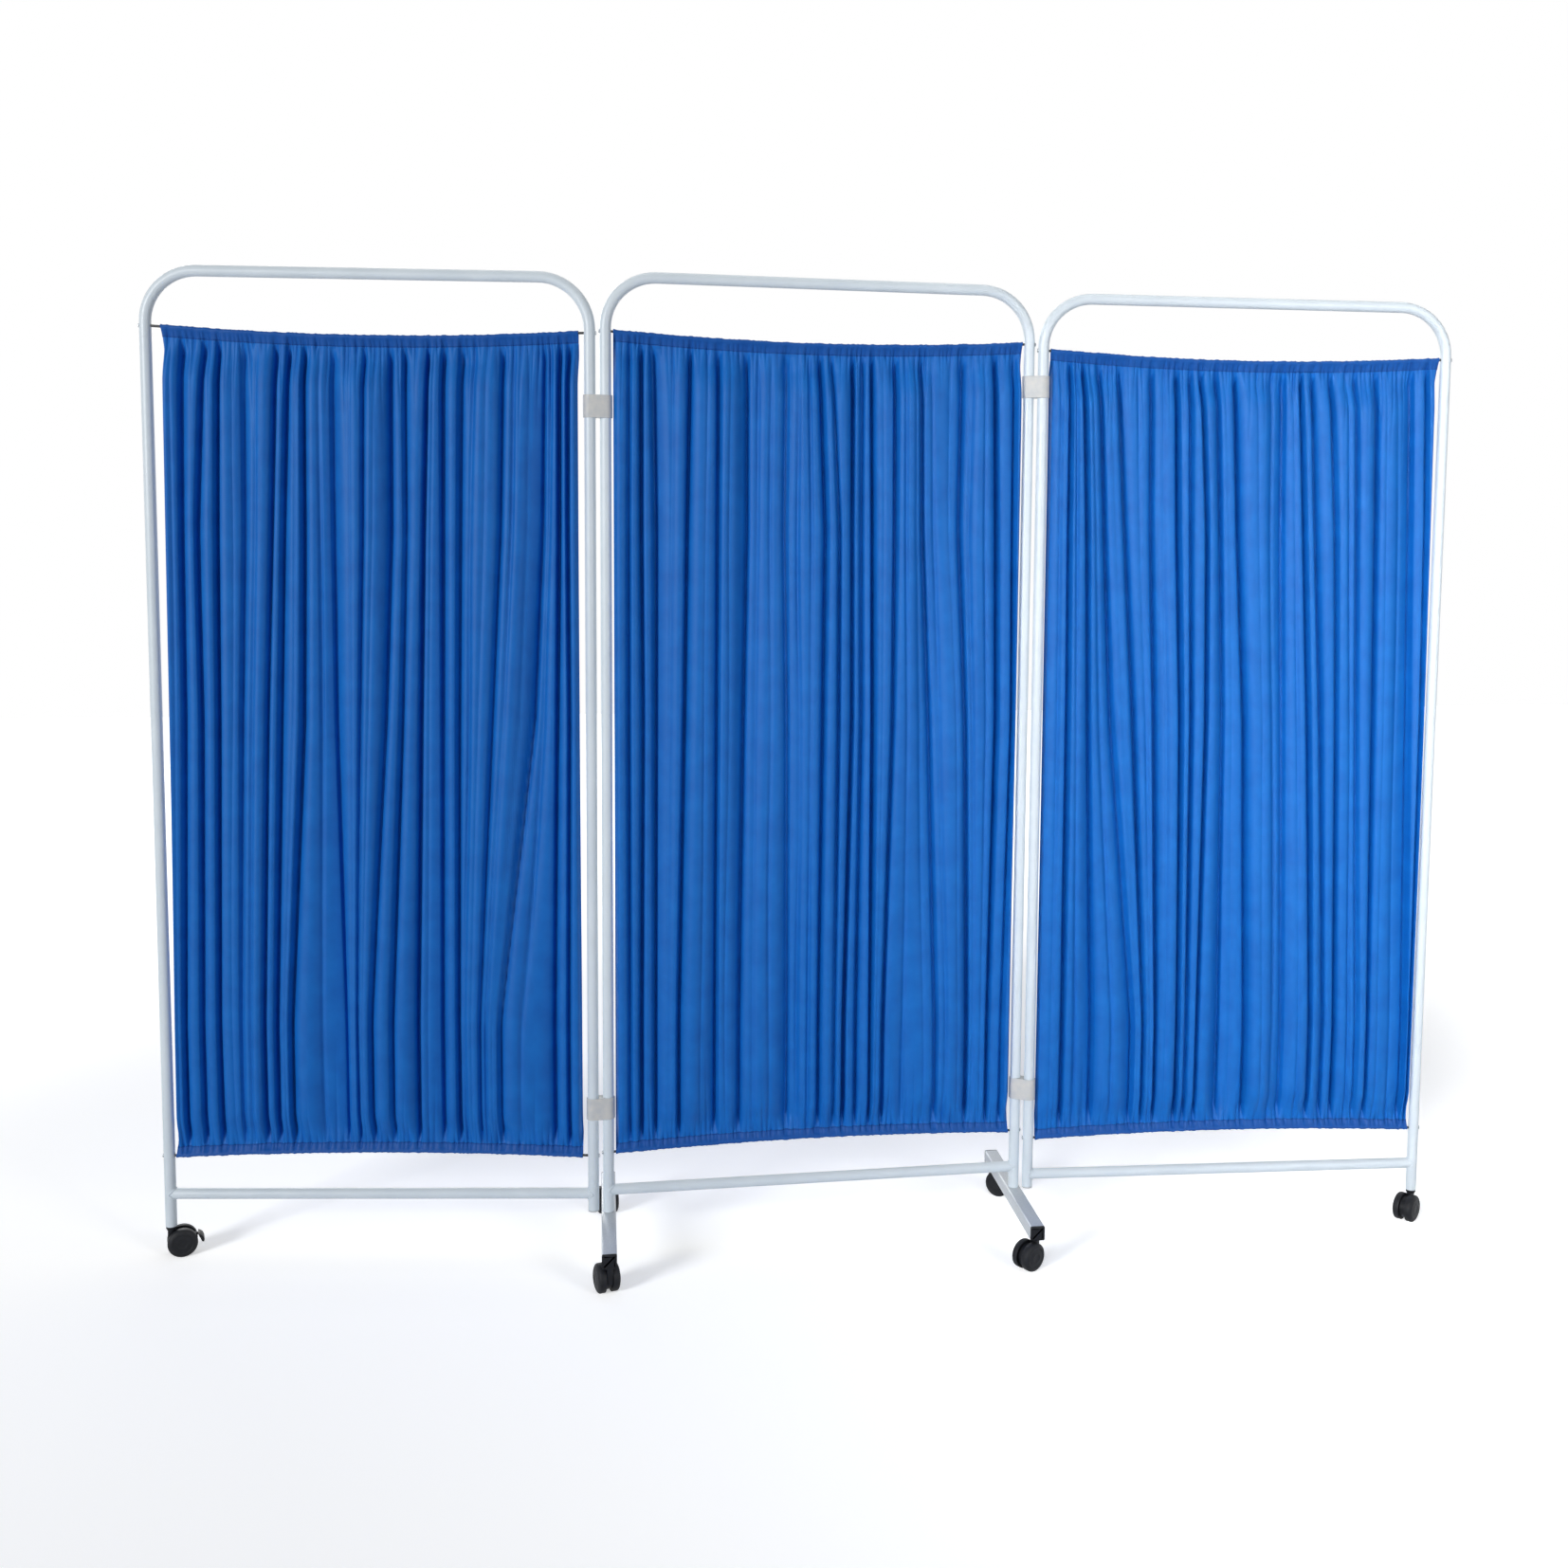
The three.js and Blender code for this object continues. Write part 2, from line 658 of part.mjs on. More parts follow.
function addPanel(name, panel, ends, gaps, phase, parent) {
  const wires = wireHeights(panel);
  piece(`${name}_frame`, frameGeometry(panel, ends.left, ends.right), whitePowderCoat, parent);
  piece(`${name}_rail`, railGeometry(panel), whitePowderCoat, parent);
  piece(`${name}_top_wire`, wireGeometry(wires.top, topWireSag), blackWireCoat, parent);
  piece(`${name}_bottom_wire`, wireGeometry(wires.bottom, -bottomWireBow), blackWireCoat, parent);
  piece(`${name}_curtain`, curtainGeometry(panel, gaps, phase), blueCurtainCloth, parent);
}

// trailTurn is the turn of the wheels' trailing side from the parent's +X
function addCaster(name, x, y, trailTurn, stem, parent, hasBrake = false) {
  const seat = pivot(`${name}_caster_seat`, x, y, 0, 0, parent);
  piece(`${name}_caster_stem`, stem, blackPlastic, seat);
  const swivel = pivot(`${name}_caster_swivel`, x, y, 0, trailTurn, parent);
  piece(`${name}_caster_body`, casterBodyGeometry(hasBrake), blackPlastic, swivel);
  const axle = pivot(`${name}_caster_axle_line`, casterTrail, 0, axleHeight, 0, swivel);
  piece(`${name}_caster_axle`, axleGeometry(), zincSteel, axle);
  piece(`${name}_wheel_1`, wheelGeometry(), blackTread, axle);
  const mirrored = pivot(`${name}_caster_other_side`, 0, 0, 0, 180, axle);
  piece(`${name}_wheel_2`, wheelGeometry(), blackTread, mirrored);
  if (hasBrake) {
    piece(`${name}_brake_lever`, leverGeometry(), blackPlastic, axle);
    pivot(`${name}_brake_pivot`, leverPivot[0], 0, leverPivot[1], 0, axle);
  }
}

function addFoot(name, x, trailTurns, parent) {
  const foot = pivot(`${name}_foot`, x, 0, 0, 0, parent);
  piece(`${name}_foot_tube`, footGeometry(), silverPaint, foot);
  piece(`${name}_foot_bolt`, boltGeometry(), zincSteel, foot);
  piece(`${name}_front_foot_cap`, capGeometry(), blackPlastic, foot);
  const backEnd = pivot(`${name}_foot_back_end`, 0, 0, 0, 180, foot);
  piece(`${name}_back_foot_cap`, capGeometry(), blackPlastic, backEnd);
  addCaster(`${name}_front`, 0, -stemPlace, trailTurns.front, footStemGeometry(), foot);
  addCaster(`${name}_back`, 0, stemPlace, trailTurns.back, footStemGeometry(), foot);
}

// side is -1 for the left panel, which runs towards -X from its hinge, and 1 for the right one
function addSidePanel(name, side, panel, turns, upperClipDrop, gaps, phase, caster, parent) {
  const clips = pivot(`${name}_clip_hinge`, side * halfSpacing, 0, 0, turns.clip, parent);
  const clipHeights = {
    upper: screenHeight - upperClipDrop,
    lower: middleRailHeight + lowerClipRise,
  };
  for (const [place, height] of Object.entries(clipHeights)) {
    const clip = clipGeometry();
    if (side < 0) clip.rotateZ(Math.PI);
    piece(`${name}_${place}_clip`, clip.translate(0, 0, height), greyClipPlastic, clips);
  }
  const hinge = pivot(`${name}_panel_hinge`, side * hingePitch, 0, 0, turns.panel - turns.clip, clips);
  const panelCentre = pivot(`${name}_panel_centre`, side * halfSpacing, 0, 0, 0, hinge);
  const ends = side < 0
    ? { left: outerPostEnd, right: hingedPostEnd }
    : { left: hingedPostEnd, right: outerPostEnd };
  addPanel(name, panel, ends, gaps, phase, panelCentre);
  piece(`${name}_post_end_plug`, endPlugGeometry(), greyClipPlastic, hinge);
  addCaster(
    `${name}_outer`, side * postSpacing, 0, caster.trailTurn - turns.panel, postStemGeometry(), hinge,
    caster.hasBrake,
  );
}

const screen = new THREE.Group();
const evenGaps = { leftBottom: 0, leftTop: 0, rightBottom: 0, rightTop: 0 };
const leftGaps = {
  leftBottom: 0,
  leftTop: leftCurtainTopGap,
  rightBottom: leftCurtainHingeGap,
  rightTop: leftCurtainHingeGap,
};
const standingEnds = { left: footTop + fitGap, right: footTop + fitGap };
addPanel('middle', middlePanel, standingEnds, evenGaps, foldPhaseShares.middle, screen);
addFoot('left', -halfSpacing, { front: leftFrontCasterTurn, back: leftBackCasterTurn }, screen);
addFoot('right', halfSpacing, { front: rightFrontCasterTurn, back: rightBackCasterTurn }, screen);
addSidePanel(
  'left', -1, leftPanel, { clip: leftClipTurn, panel: leftPanelTurn }, leftUpperClipDrop, leftGaps,
  foldPhaseShares.left, { trailTurn: leftOuterCasterTurn, hasBrake: true }, screen,
);
addSidePanel(
  'right', 1, rightPanel, { clip: rightClipTurn, panel: rightPanelTurn }, rightUpperClipDrop,
  evenGaps, foldPhaseShares.right, { trailTurn: rightOuterCasterTurn, hasBrake: false }, screen,
);

// The origin goes under the middle of the outline
screen.updateMatrixWorld(true);
const outline = new THREE.Box3().setFromObject(screen, true);
const centre = outline.getCenter(new THREE.Vector3());
screen.position.set(-centre.x, -centre.y, -outline.min.z);

export default screen;
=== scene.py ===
# %% [markdown]
# # Ward privacy screen on wheels
# A ward screen is a folding wall of three light tube frames. Each frame is one steel tube bent twice,
# with a straight rail near the floor and a curtain gathered on two wires. The middle frame stands on
# two square foot bars with four casters, and each side frame hangs in plastic clips and rolls on one.
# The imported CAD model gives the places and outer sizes. Here the hard pieces are modelled again over
# their solids with rounded edges and details, the hidden axles stay as they are, and the curtains
# become gathered cloth.

# %% Load the frame
import json
import math
import random

import bmesh
import bpy
from mathutils import Matrix, Vector


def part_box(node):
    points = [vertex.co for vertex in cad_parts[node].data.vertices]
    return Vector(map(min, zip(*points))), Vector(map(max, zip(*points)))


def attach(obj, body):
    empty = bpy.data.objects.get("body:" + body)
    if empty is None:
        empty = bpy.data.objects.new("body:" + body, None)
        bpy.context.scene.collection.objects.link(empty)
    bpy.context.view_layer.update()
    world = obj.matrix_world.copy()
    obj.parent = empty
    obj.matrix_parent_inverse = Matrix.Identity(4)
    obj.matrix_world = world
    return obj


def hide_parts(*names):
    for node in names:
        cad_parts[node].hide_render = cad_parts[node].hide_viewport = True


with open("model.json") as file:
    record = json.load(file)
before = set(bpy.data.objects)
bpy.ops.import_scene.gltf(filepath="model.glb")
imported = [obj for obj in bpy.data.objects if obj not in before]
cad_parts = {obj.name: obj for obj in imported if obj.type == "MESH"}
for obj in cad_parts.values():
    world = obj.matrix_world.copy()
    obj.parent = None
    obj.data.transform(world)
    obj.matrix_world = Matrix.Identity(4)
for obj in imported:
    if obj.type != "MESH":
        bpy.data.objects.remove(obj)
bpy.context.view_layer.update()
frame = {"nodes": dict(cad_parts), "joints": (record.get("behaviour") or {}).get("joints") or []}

# %% [markdown]
# ## Camera
# The photograph was taken from a little left of the middle, at chest height, with a normal lens. It was
# cropped off its centre, so the camera gets a small shift besides its place, turns and focal length.
# The numbers were found by laying the model's posts, bars and feet over those of the photograph.

# %% Camera
MM = 0.001
PHOTO = 1654  # the photograph's width and height in pixels
FOCAL = 1789.5  # focal length in pixels
CENTRE_X, CENTRE_Y = 962.7, 710.6  # where the lens axis meets the photograph, in pixels
camera_place = Vector((-0.3792, -2.9255, 1.3054))
yaw, pitch, roll = -0.18295, -0.09485, 0.01313

ahead = Vector((-math.sin(yaw) * math.cos(pitch), math.cos(yaw) * math.cos(pitch), math.sin(pitch)))
level = Vector((math.cos(yaw), math.sin(yaw), 0))
above = level.cross(ahead)
right = math.cos(roll) * level + math.sin(roll) * above
up = -math.sin(roll) * level + math.cos(roll) * above

camera = bpy.data.objects.new("camera", bpy.data.cameras.new("camera"))
bpy.context.collection.objects.link(camera)
axes = Matrix((right, up, -ahead)).transposed().to_4x4()
camera.matrix_world = Matrix.Translation(camera_place) @ axes
camera.data.sensor_width = 36
camera.data.lens = 36 * FOCAL / PHOTO
camera.data.shift_x = (PHOTO / 2 - CENTRE_X) / PHOTO
camera.data.shift_y = (CENTRE_Y - PHOTO / 2) / PHOTO
camera.data.clip_end = 50
bpy.context.scene.camera = camera
print("lens", round(camera.data.lens, 2), "mm")

# %% [markdown]
# ## Helpers for modelling by hand
# Every operator works on what is selected, so each step starts with nothing selected. A primitive is
# added at its size and place, its place is moved into its mesh, and faces, edges or vertices are then
# picked by a test on their place or normal, which does the job of a mouse click.

# %% Start, pick and shape
def select_only(*pieces):
    if bpy.context.mode != "OBJECT":
        bpy.ops.object.mode_set(mode="OBJECT")
    bpy.ops.object.select_all(action="DESELECT")
    for piece in pieces:
        piece.select_set(True)
    if pieces:
        bpy.context.view_layer.objects.active = pieces[0]


def primitive(add, **settings):
    select_only()
    add(**settings)
    bpy.ops.object.transform_apply(location=True, rotation=True, scale=True)
    return bpy.context.object


def cylinder(radius, depth, centre=(0, 0, 0), along="z", sides=40):
    quarter = math.radians(90)
    turn = {"x": (0, quarter, 0), "y": (quarter, 0, 0), "z": (0, 0, 0)}[along]
    return primitive(bpy.ops.mesh.primitive_cylinder_add, vertices=sides, radius=radius, depth=depth,
                     location=centre, rotation=turn)


def block(size, centre):
    return primitive(bpy.ops.mesh.primitive_cube_add, size=1, location=centre, scale=size)


def edit(piece, kind="FACE"):
    select_only(piece)
    bpy.ops.object.mode_set(mode="EDIT")
    bpy.ops.mesh.select_mode(type=kind)


def pick(piece, test, kind="faces"):
    mesh = bmesh.from_edit_mesh(piece.data)
    for face in mesh.faces:
        face.select_set(False)
    for item in getattr(mesh, kind):
        item.select_set(bool(test(item)))
    mesh.select_flush_mode()
    bmesh.update_edit_mesh(piece.data)


def pull(x=0, y=0, z=0):
    bpy.ops.mesh.extrude_region_move(TRANSFORM_OT_translate={"value": (x, y, z)})


def step(inset, y=0, z=0):
    """Inset the picked face and move it: one step of a stepped or domed end."""
    bpy.ops.mesh.inset(thickness=inset)
    bpy.ops.transform.translate(value=(0, y, z))


# %% Join, cut and finish
def merged(piece):
    """Stays in edit mode with all selected."""
    edit(piece, "VERT")
    bpy.ops.mesh.select_all(action="SELECT")
    bpy.ops.mesh.remove_doubles(threshold=0.01 * MM)


def closed(piece):
    merged(piece)
    bpy.ops.mesh.normals_make_consistent(inside=False)
    select_only(piece)
    bpy.ops.object.shade_smooth_by_angle(angle=math.radians(38))
    return piece


def with_modifier(piece, kind, **settings):
    select_only(piece)
    modifier = piece.modifiers.new(kind.title(), kind)
    for name, value in settings.items():
        setattr(modifier, name, value)
    bpy.ops.object.modifier_apply(modifier=modifier.name)
    return piece


def rounded(piece, width, segments=2, angle=40):
    return with_modifier(piece, "BEVEL", width=width, segments=segments, limit_method="ANGLE",
                         angle_limit=math.radians(angle), harden_normals=False)


def combined(piece, operation, *others):
    for other in others:
        with_modifier(piece, "BOOLEAN", object=other, operation=operation, solver="EXACT")
        bpy.data.objects.remove(other)
    return piece


def joined(*pieces):
    select_only(*pieces)
    bpy.ops.object.join()
    return pieces[0]


def placed(piece, matrix):
    piece.matrix_world = matrix
    select_only(piece)
    bpy.ops.object.transform_apply(location=True, rotation=True, scale=True)
    return piece


def copied(piece, matrix):
    twin = piece.copy()
    twin.data, twin.parent = piece.data.copy(), None
    bpy.context.collection.objects.link(twin)
    return placed(twin, matrix)


def at(place, run=(1, 0)):
    """The matrix that takes a model to a place and turns its +X along a run."""
    return Matrix.Translation(place) @ Matrix.Rotation(math.atan2(run[1], run[0]), 4, "Z")


def middle(node):
    low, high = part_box(node)
    return (low + high) / 2


def finished(piece, name, body, slot, *nodes):
    piece.name = piece.data.name = name
    piece.data.materials.clear()
    piece.data.materials.append(FINISHES[slot])
    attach(piece, body)
    if nodes:
        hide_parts(*nodes)
    print(name, "faces", len(piece.data.polygons))


# %% [markdown]
# ## Helpers for finishes
# A colour is written as it looks on a screen, and the renderer wants it linear, so one function turns
# it. A finish starts from the shader's own sockets, and one function adds a node with its settings and
# links for whatever varies over the surface.

# %% Colours and nodes
FINISHES = {}  # one for each material slot of the record


def colour(hex_text):
    parts = [int(hex_text[i:i + 2], 16) / 255 for i in (0, 2, 4)]
    linear = [p / 12.92 if p <= 0.04045 else ((p + 0.055) / 1.055) ** 2.4 for p in parts]
    return (*linear, 1)


def add_node(tree, kind, inputs=None, **settings):
    """A shader node. Inputs are values, sockets, or nodes whose first output is meant."""
    node = tree.nodes.new("ShaderNode" + kind)
    for name, value in settings.items():
        setattr(node, name, value)
    for name, value in (inputs or {}).items():
        if isinstance(value, bpy.types.Node):
            value = value.outputs[0]
        if isinstance(value, bpy.types.NodeSocket):
            tree.links.new(value, node.inputs[name])
        else:
            node.inputs[name].default_value = value
    return node


def per_metre(size_mm):
    return 1 / (size_mm * MM)


def new_finish(slot, name, **sockets):
    finish = FINISHES[slot] = bpy.data.materials.new(name)
    finish.use_nodes = True
    shader = finish.node_tree.nodes["Principled BSDF"]
    for socket, value in sockets.items():
        shader.inputs[socket.replace("_", " ")].default_value = value
    return finish.node_tree, shader


def two_tones(tree, place, size_mm, detail, dark, light):
    """A colour that wanders softly between two close tones."""
    noise = add_node(tree, "TexNoise", {"Vector": place, "Scale": per_metre(size_mm), "Detail": detail})
    tone = add_node(tree, "ValToRGB", {"Fac": noise})
    for stop, position, tint in zip(tone.color_ramp.elements, (0.3, 0.7), (dark, light)):
        stop.position, stop.color = position, colour(tint)
    return tone.outputs["Color"]


def grained(tree, shader, place, size_mm, height_mm, spread):
    """Fine relief, and with it roughness that varies a little."""
    noise = add_node(tree, "TexNoise", {"Vector": place, "Scale": per_metre(size_mm), "Detail": 2.0})
    bump = add_node(tree, "Bump", {"Height": noise, "Distance": height_mm * MM, "Strength": 1.0})
    tree.links.new(bump.outputs["Normal"], shader.inputs["Normal"])
    base = shader.inputs["Roughness"].default_value
    span = {"From Min": 0.3, "From Max": 0.7, "To Min": base - spread, "To Max": base + spread}
    rough = add_node(tree, "MapRange", {"Value": noise, **span})
    tree.links.new(rough.outputs["Result"], shader.inputs["Roughness"])


def plain_finish(slot, name, tones, patch_mm, grain, **sockets):
    """A finish with tones in patches, and a grain with its size, its height and the spread of roughness."""
    tree, shader = new_finish(slot, name, **sockets)
    place = add_node(tree, "TexCoord").outputs["Object"]
    tree.links.new(two_tones(tree, place, patch_mm, 3.0, *tones), shader.inputs["Base Color"])
    grained(tree, shader, place, *grain)
    print(name, "roughness", round(shader.inputs["Roughness"].default_value, 2))


# %% [markdown]
# ## White powder coat
# The tubes are steel with a baked polyester powder coat. Powder melts into a satin skin with a faint
# orange peel of one or two millimetres, and it looks cool white in the photograph. The peel is drawn as
# a very low bump, a little coarser than it is, so that it still breaks the highlight.

# %% White powder coat
plain_finish("white_powder_coat", "white_polyester_powder_coat", ("D8E3EB", "DFE9F0"), 60, (2.5, 0.05, 0.05),
             Roughness=0.36, IOR=1.5)

# %% [markdown]
# ## Silver paint
# The foot bars have a silver-grey stove paint. Its fine metal flake gives it a soft sheen that a plain
# grey doesn't have, so it is a third metallic and rather rough, with speckle of flake size made coarser.

# %% Silver paint
plain_finish("silver_paint", "silver_grey_flake_paint", ("BFC5CA", "D0D5D9"), 1.6, (3.0, 0.04, 0.06),
             Roughness=0.42, Metallic=0.3)

# %% [markdown]
# ## Moulded plastics
# The clips and end plugs are matt grey polypropylene, the caster bodies, foot caps and brake lever are
# black polypropylene, and the wheels are black nylon, a bit duller where they roll. Moulded plastic
# takes the fine spark grain of its mould, and its corners are never quite sharp.

# %% Moulded plastics
plain_finish("grey_plastic", "grey_moulded_polypropylene", ("C3C6C8", "D3D2CE"), 14, (0.9, 0.04, 0.05),
             Roughness=0.52, IOR=1.49)
plain_finish("black_plastic", "black_moulded_polypropylene", ("0D0F14", "16181D"), 12, (0.9, 0.04, 0.06),
             Roughness=0.46, IOR=1.49, Specular_IOR_Level=0.25)
plain_finish("black_tread", "black_nylon_wheel", ("0D0F14", "17191E"), 9, (1.4, 0.06, 0.08),
             Roughness=0.55, IOR=1.53, Specular_IOR_Level=0.25)

# %% [markdown]
# ## Zinc-plated steel and coated wire
# Bolts, axles and rivets are zinc-plated steel, a bright grey metal with a slightly blue cast. The
# curtain wires are steel springs in a smooth black PVC skin.

# %% Zinc plate and wire coat
plain_finish("zinc_steel", "zinc_plated_steel", ("A9AEB3", "C3C7CB"), 5, (1.0, 0.02, 0.08),
             Roughness=0.34, Metallic=1.0)
plain_finish("black_wire_coat", "black_pvc_wire_coat", ("1A1C20", "26292D"), 20, (1.2, 0.05, 0.05),
             Roughness=0.42, IOR=1.53)

# %% [markdown]
# ## Where the panels stand
# Each panel is made flat, centred on its own middle, and then turned into place. The hinge and caster
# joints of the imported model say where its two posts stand, so the places aren't typed again.

# %% Panels
TUBE = 9.5 * MM  # radius of the frame tube
BEND = 85 * MM  # radius of the bends, to the tube's axis
WIRE_SEAT = TUBE + 0.3 * MM  # from a post's axis to the end of a wire
TOP_WIRE_DROP = 100 * MM  # from the top of the frame to the ends of the upper wire
LOW_WIRE_RISE = 68 * MM  # from the rail's axis to the ends of the lower wire

joint_place = {joint["name"]: Vector((*joint["pos_m"][:2], 0)) for joint in frame["joints"]}


def panel_between(name, left_joint, right_joint, hinged_side):
    left_post, right_post = joint_place[left_joint], joint_place[right_joint]
    run = right_post - left_post
    low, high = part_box(f"{name}_frame")
    rail = middle(f"{name}_rail").z
    print(name, "half", round(run.length / 2, 4), "top", round(high.z, 4), "rail", round(rail, 4))
    return {"name": name, "body": f"{name}_panel", "matrix": at((left_post + right_post) / 2, run),
            "half": run.length / 2, "top": high.z, "end": low.z, "rail": rail, "hinged_side": hinged_side,
            "top_wire": high.z - TOP_WIRE_DROP, "bottom_wire": rail + LOW_WIRE_RISE}


panels = [panel_between("left", "left_outer_caster_swivel", "left_panel_hinge", 1),
          panel_between("middle", "left_clip_hinge", "right_clip_hinge", 0),
          panel_between("right", "right_panel_hinge", "right_outer_caster_swivel", -1)]

# %% [markdown]
# ## Bent tube frames
# On the real screen a straight tube is pushed through a bender twice. The same is done here: a round
# face is extruded up to the first bend, spun through a quarter turn, extruded along the top, spun again
# and extruded down to the other end. A curve with a round bevel would give the shape too, but spinning
# gives even rings in the bends and long clean quads in the straights.

# %% Bent tube
PLUG = 15 * MM  # length of an end plug
PLUG_RIM = 0.6 * MM  # what of it stays outside the post


def bent_tube(panel):
    name, half, bar = panel["name"], panel["half"], panel["top"] - TUBE
    ends = {-1: panel["end"], 1: panel["end"]}
    if panel["hinged_side"]:
        ends[panel["hinged_side"]] = max(panel["end"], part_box(f"{name}_post_end_plug")[1].z - PLUG + PLUG_RIM)
    tube = primitive(bpy.ops.mesh.primitive_circle_add, vertices=40, radius=TUBE, fill_type="NGON",
                     location=(-half, 0, ends[-1]))
    edit(tube)
    bpy.ops.mesh.select_all(action="SELECT")
    pull(z=bar - BEND - ends[-1])
    for x in (-half + BEND, half - BEND):
        bpy.ops.mesh.spin(steps=14, angle=math.radians(90), center=(x, 0, bar - BEND), axis=(0, -1, 0))
        if x < 0:
            pull(x=2 * (half - BEND))
    pull(z=ends[1] - (bar - BEND))
    return closed(tube)


for panel in panels:
    finished(placed(bent_tube(panel), panel["matrix"]), panel["name"] + "_bent_tube", panel["body"],
             "white_powder_coat", panel["name"] + "_frame")

# %% [markdown]
# ## Rails and their welds
# The rail is a straight tube hollowed at both ends to sit on the posts, and a weld bead runs round each
# joint under the paint. The rail here ends inside the posts, and the bead is a bent bar laid along the
# line where the two round tubes meet, with the small ripples that a welder leaves.

# %% Rails with weld beads
def bar_along(name, points, radius, rounds, ring=False):
    """A round bar along points, each with its own share of the radius, made a mesh."""
    curve = bpy.data.curves.new(name, "CURVE")
    curve.dimensions = "3D"
    curve.bevel_depth, curve.bevel_resolution, curve.use_fill_caps = radius, rounds, not ring
    line = curve.splines.new("POLY")
    line.points.add(len(points) - 1)
    line.use_cyclic_u = ring
    for point, (place, share) in zip(line.points, points):
        point.co, point.radius = (*place, 1), share
    bar = bpy.data.objects.new(name, curve)
    bpy.context.collection.objects.link(bar)
    select_only(bar)
    bpy.ops.object.convert(target="MESH")
    bpy.ops.object.shade_smooth()
    return bpy.context.object


def weld_bead(side, panel):
    points, count = [], 72
    for i in range(count):
        turn = 2 * math.pi * i / count
        y, z = TUBE * math.cos(turn), TUBE * math.sin(turn)
        x = panel["half"] - math.sqrt(max(TUBE ** 2 - y ** 2, 0))
        ripple = 1 + 0.16 * math.sin(24 * turn)
        points.append(((side * x, 1.02 * y, panel["rail"] + 1.02 * z), ripple))
    return bar_along("weld_bead", points, 1.5 * MM, 2, ring=True)


for panel in panels:
    rail = closed(cylinder(TUBE - 0.05 * MM, 2 * panel["half"], (0, 0, panel["rail"]), "x"))
    rail = joined(rail, *[weld_bead(side, panel) for side in (-1, 1)])
    finished(placed(rail, panel["matrix"]), panel["name"] + "_welded_rail", panel["body"],
             "white_powder_coat", panel["name"] + "_rail")

# %% [markdown]
# ## Curtain wires and their rivet heads
# A curtain wire is stretched through both posts and held outside each post by a small domed head. The
# upper wire sags under the cloth and the lower one is pulled up by it. A wire is a curve with a round
# bevel, made a mesh, and a head is a short cylinder whose outer edge is rounded by a wide bevel.

# %% Wires
WIRE = 2.2 * MM  # radius of a wire with its skin
DIP = {"top": 13 * MM, "bottom": -9 * MM}  # of a wire's middle below its ends


def wire_height(panel, end, x):
    share = min(abs(x) / (panel["half"] - WIRE_SEAT), 1)
    return panel[end + "_wire"] - DIP[end] * (1 - share * share)


def wire(panel, end, steps=48):
    reach = panel["half"] + WIRE_SEAT
    xs = [-reach + 2 * reach * i / steps for i in range(steps + 1)]
    return bar_along("wire", [((x, 0, wire_height(panel, end, x)), 1) for x in xs], WIRE, 3)


def rivet_head():
    head = cylinder(3.5 * MM, 2 * MM, (1 * MM, 0, 0), "x", sides=24)
    edit(head)
    pick(head, lambda face: face.normal.x > 0.9)
    bpy.ops.mesh.bevel(offset=1.3 * MM, segments=4, affect="EDGES")
    return closed(head)


head_model = rivet_head()
for panel in panels:
    for end in ("top", "bottom"):
        name = f"{panel['name']}_{end}"
        finished(placed(wire(panel, end), panel["matrix"]), name + "_curtain_wire", panel["body"],
                 "black_wire_coat", name + "_wire")
        heads = []
        for side in (-1, 1):
            spot = at((side * (panel["half"] + TUBE), 0, panel[end + "_wire"]), (side, 0))
            heads.append(copied(head_model, panel["matrix"] @ spot))
        finished(joined(*heads), name + "_rivet_heads", panel["body"], "zinc_steel")

# %% [markdown]
# ## Foot bars
# Each foot is a square steel tube with softly rounded corners. A cube is stretched to size, its four
# long edges are bevelled to the corner radius, and its ends stay square because caps close them.

# %% Foot bars
CORNER = 2.5 * MM  # corner radius of the square tube and its caps


def round_corners(piece, shortest):
    """Bevel the edges along Y."""
    edit(piece, "EDGE")
    pick(piece, lambda edge: abs((edge.verts[0].co - edge.verts[1].co).y) > shortest, "edges")
    bpy.ops.mesh.bevel(offset=CORNER, segments=5, affect="EDGES")


for side in ("left", "right"):
    low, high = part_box(f"{side}_foot_tube")
    bar = block(high - low, middle(f"{side}_foot_tube"))
    round_corners(bar, 100 * MM)
    finished(closed(bar), f"{side}_foot_bar", "middle_panel", "silver_paint", f"{side}_foot_tube")

# %% [markdown]
# ## Foot caps
# A black plastic cap is pushed into each end of a foot bar. Only its plate shows: a rounded square with
# a slightly pillowed face. A cube is bevelled at its four corners, and its outer face is inset and
# pushed out in two steps.

# %% Foot caps
def foot_cap():
    """Plate centred on Y = 0 with its outer face towards -Y."""
    plate = block((25 * MM, 2.6 * MM, 25 * MM), (0, 1.5 * MM, 0))
    round_corners(plate, 2 * MM)
    bpy.ops.mesh.select_mode(type="FACE")
    pick(plate, lambda face: face.normal.y < -0.9)
    step(0.9 * MM, y=-0.5 * MM)
    step(4 * MM, y=-0.2 * MM)
    plug = rounded(block((21 * MM, 6 * MM, 21 * MM), (0, 5 * MM, 0)), 1 * MM)
    return closed(joined(closed(plate), plug))


cap_model, CAP_SINK = foot_cap(), 0.2 * MM
for side in ("left", "right"):
    for end, corner, inwards in (("front", 0, 1), ("back", 1, -1)):
        node = f"{side}_{end}_foot_cap"
        place = middle(node)
        place.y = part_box(node)[corner].y + inwards * CAP_SINK
        finished(copied(cap_model, at(place, (inwards, 0))), f"{side}_{end}_end_cap", "middle_panel",
                 "black_plastic", node)

# %% [markdown]
# ## Foot bolts
# A hexagon bolt comes up through each foot bar into the post's plugged end. Under the bar its head and
# washer show. A six-sided cylinder is the head, chamfered by insetting and lowering its outer face.

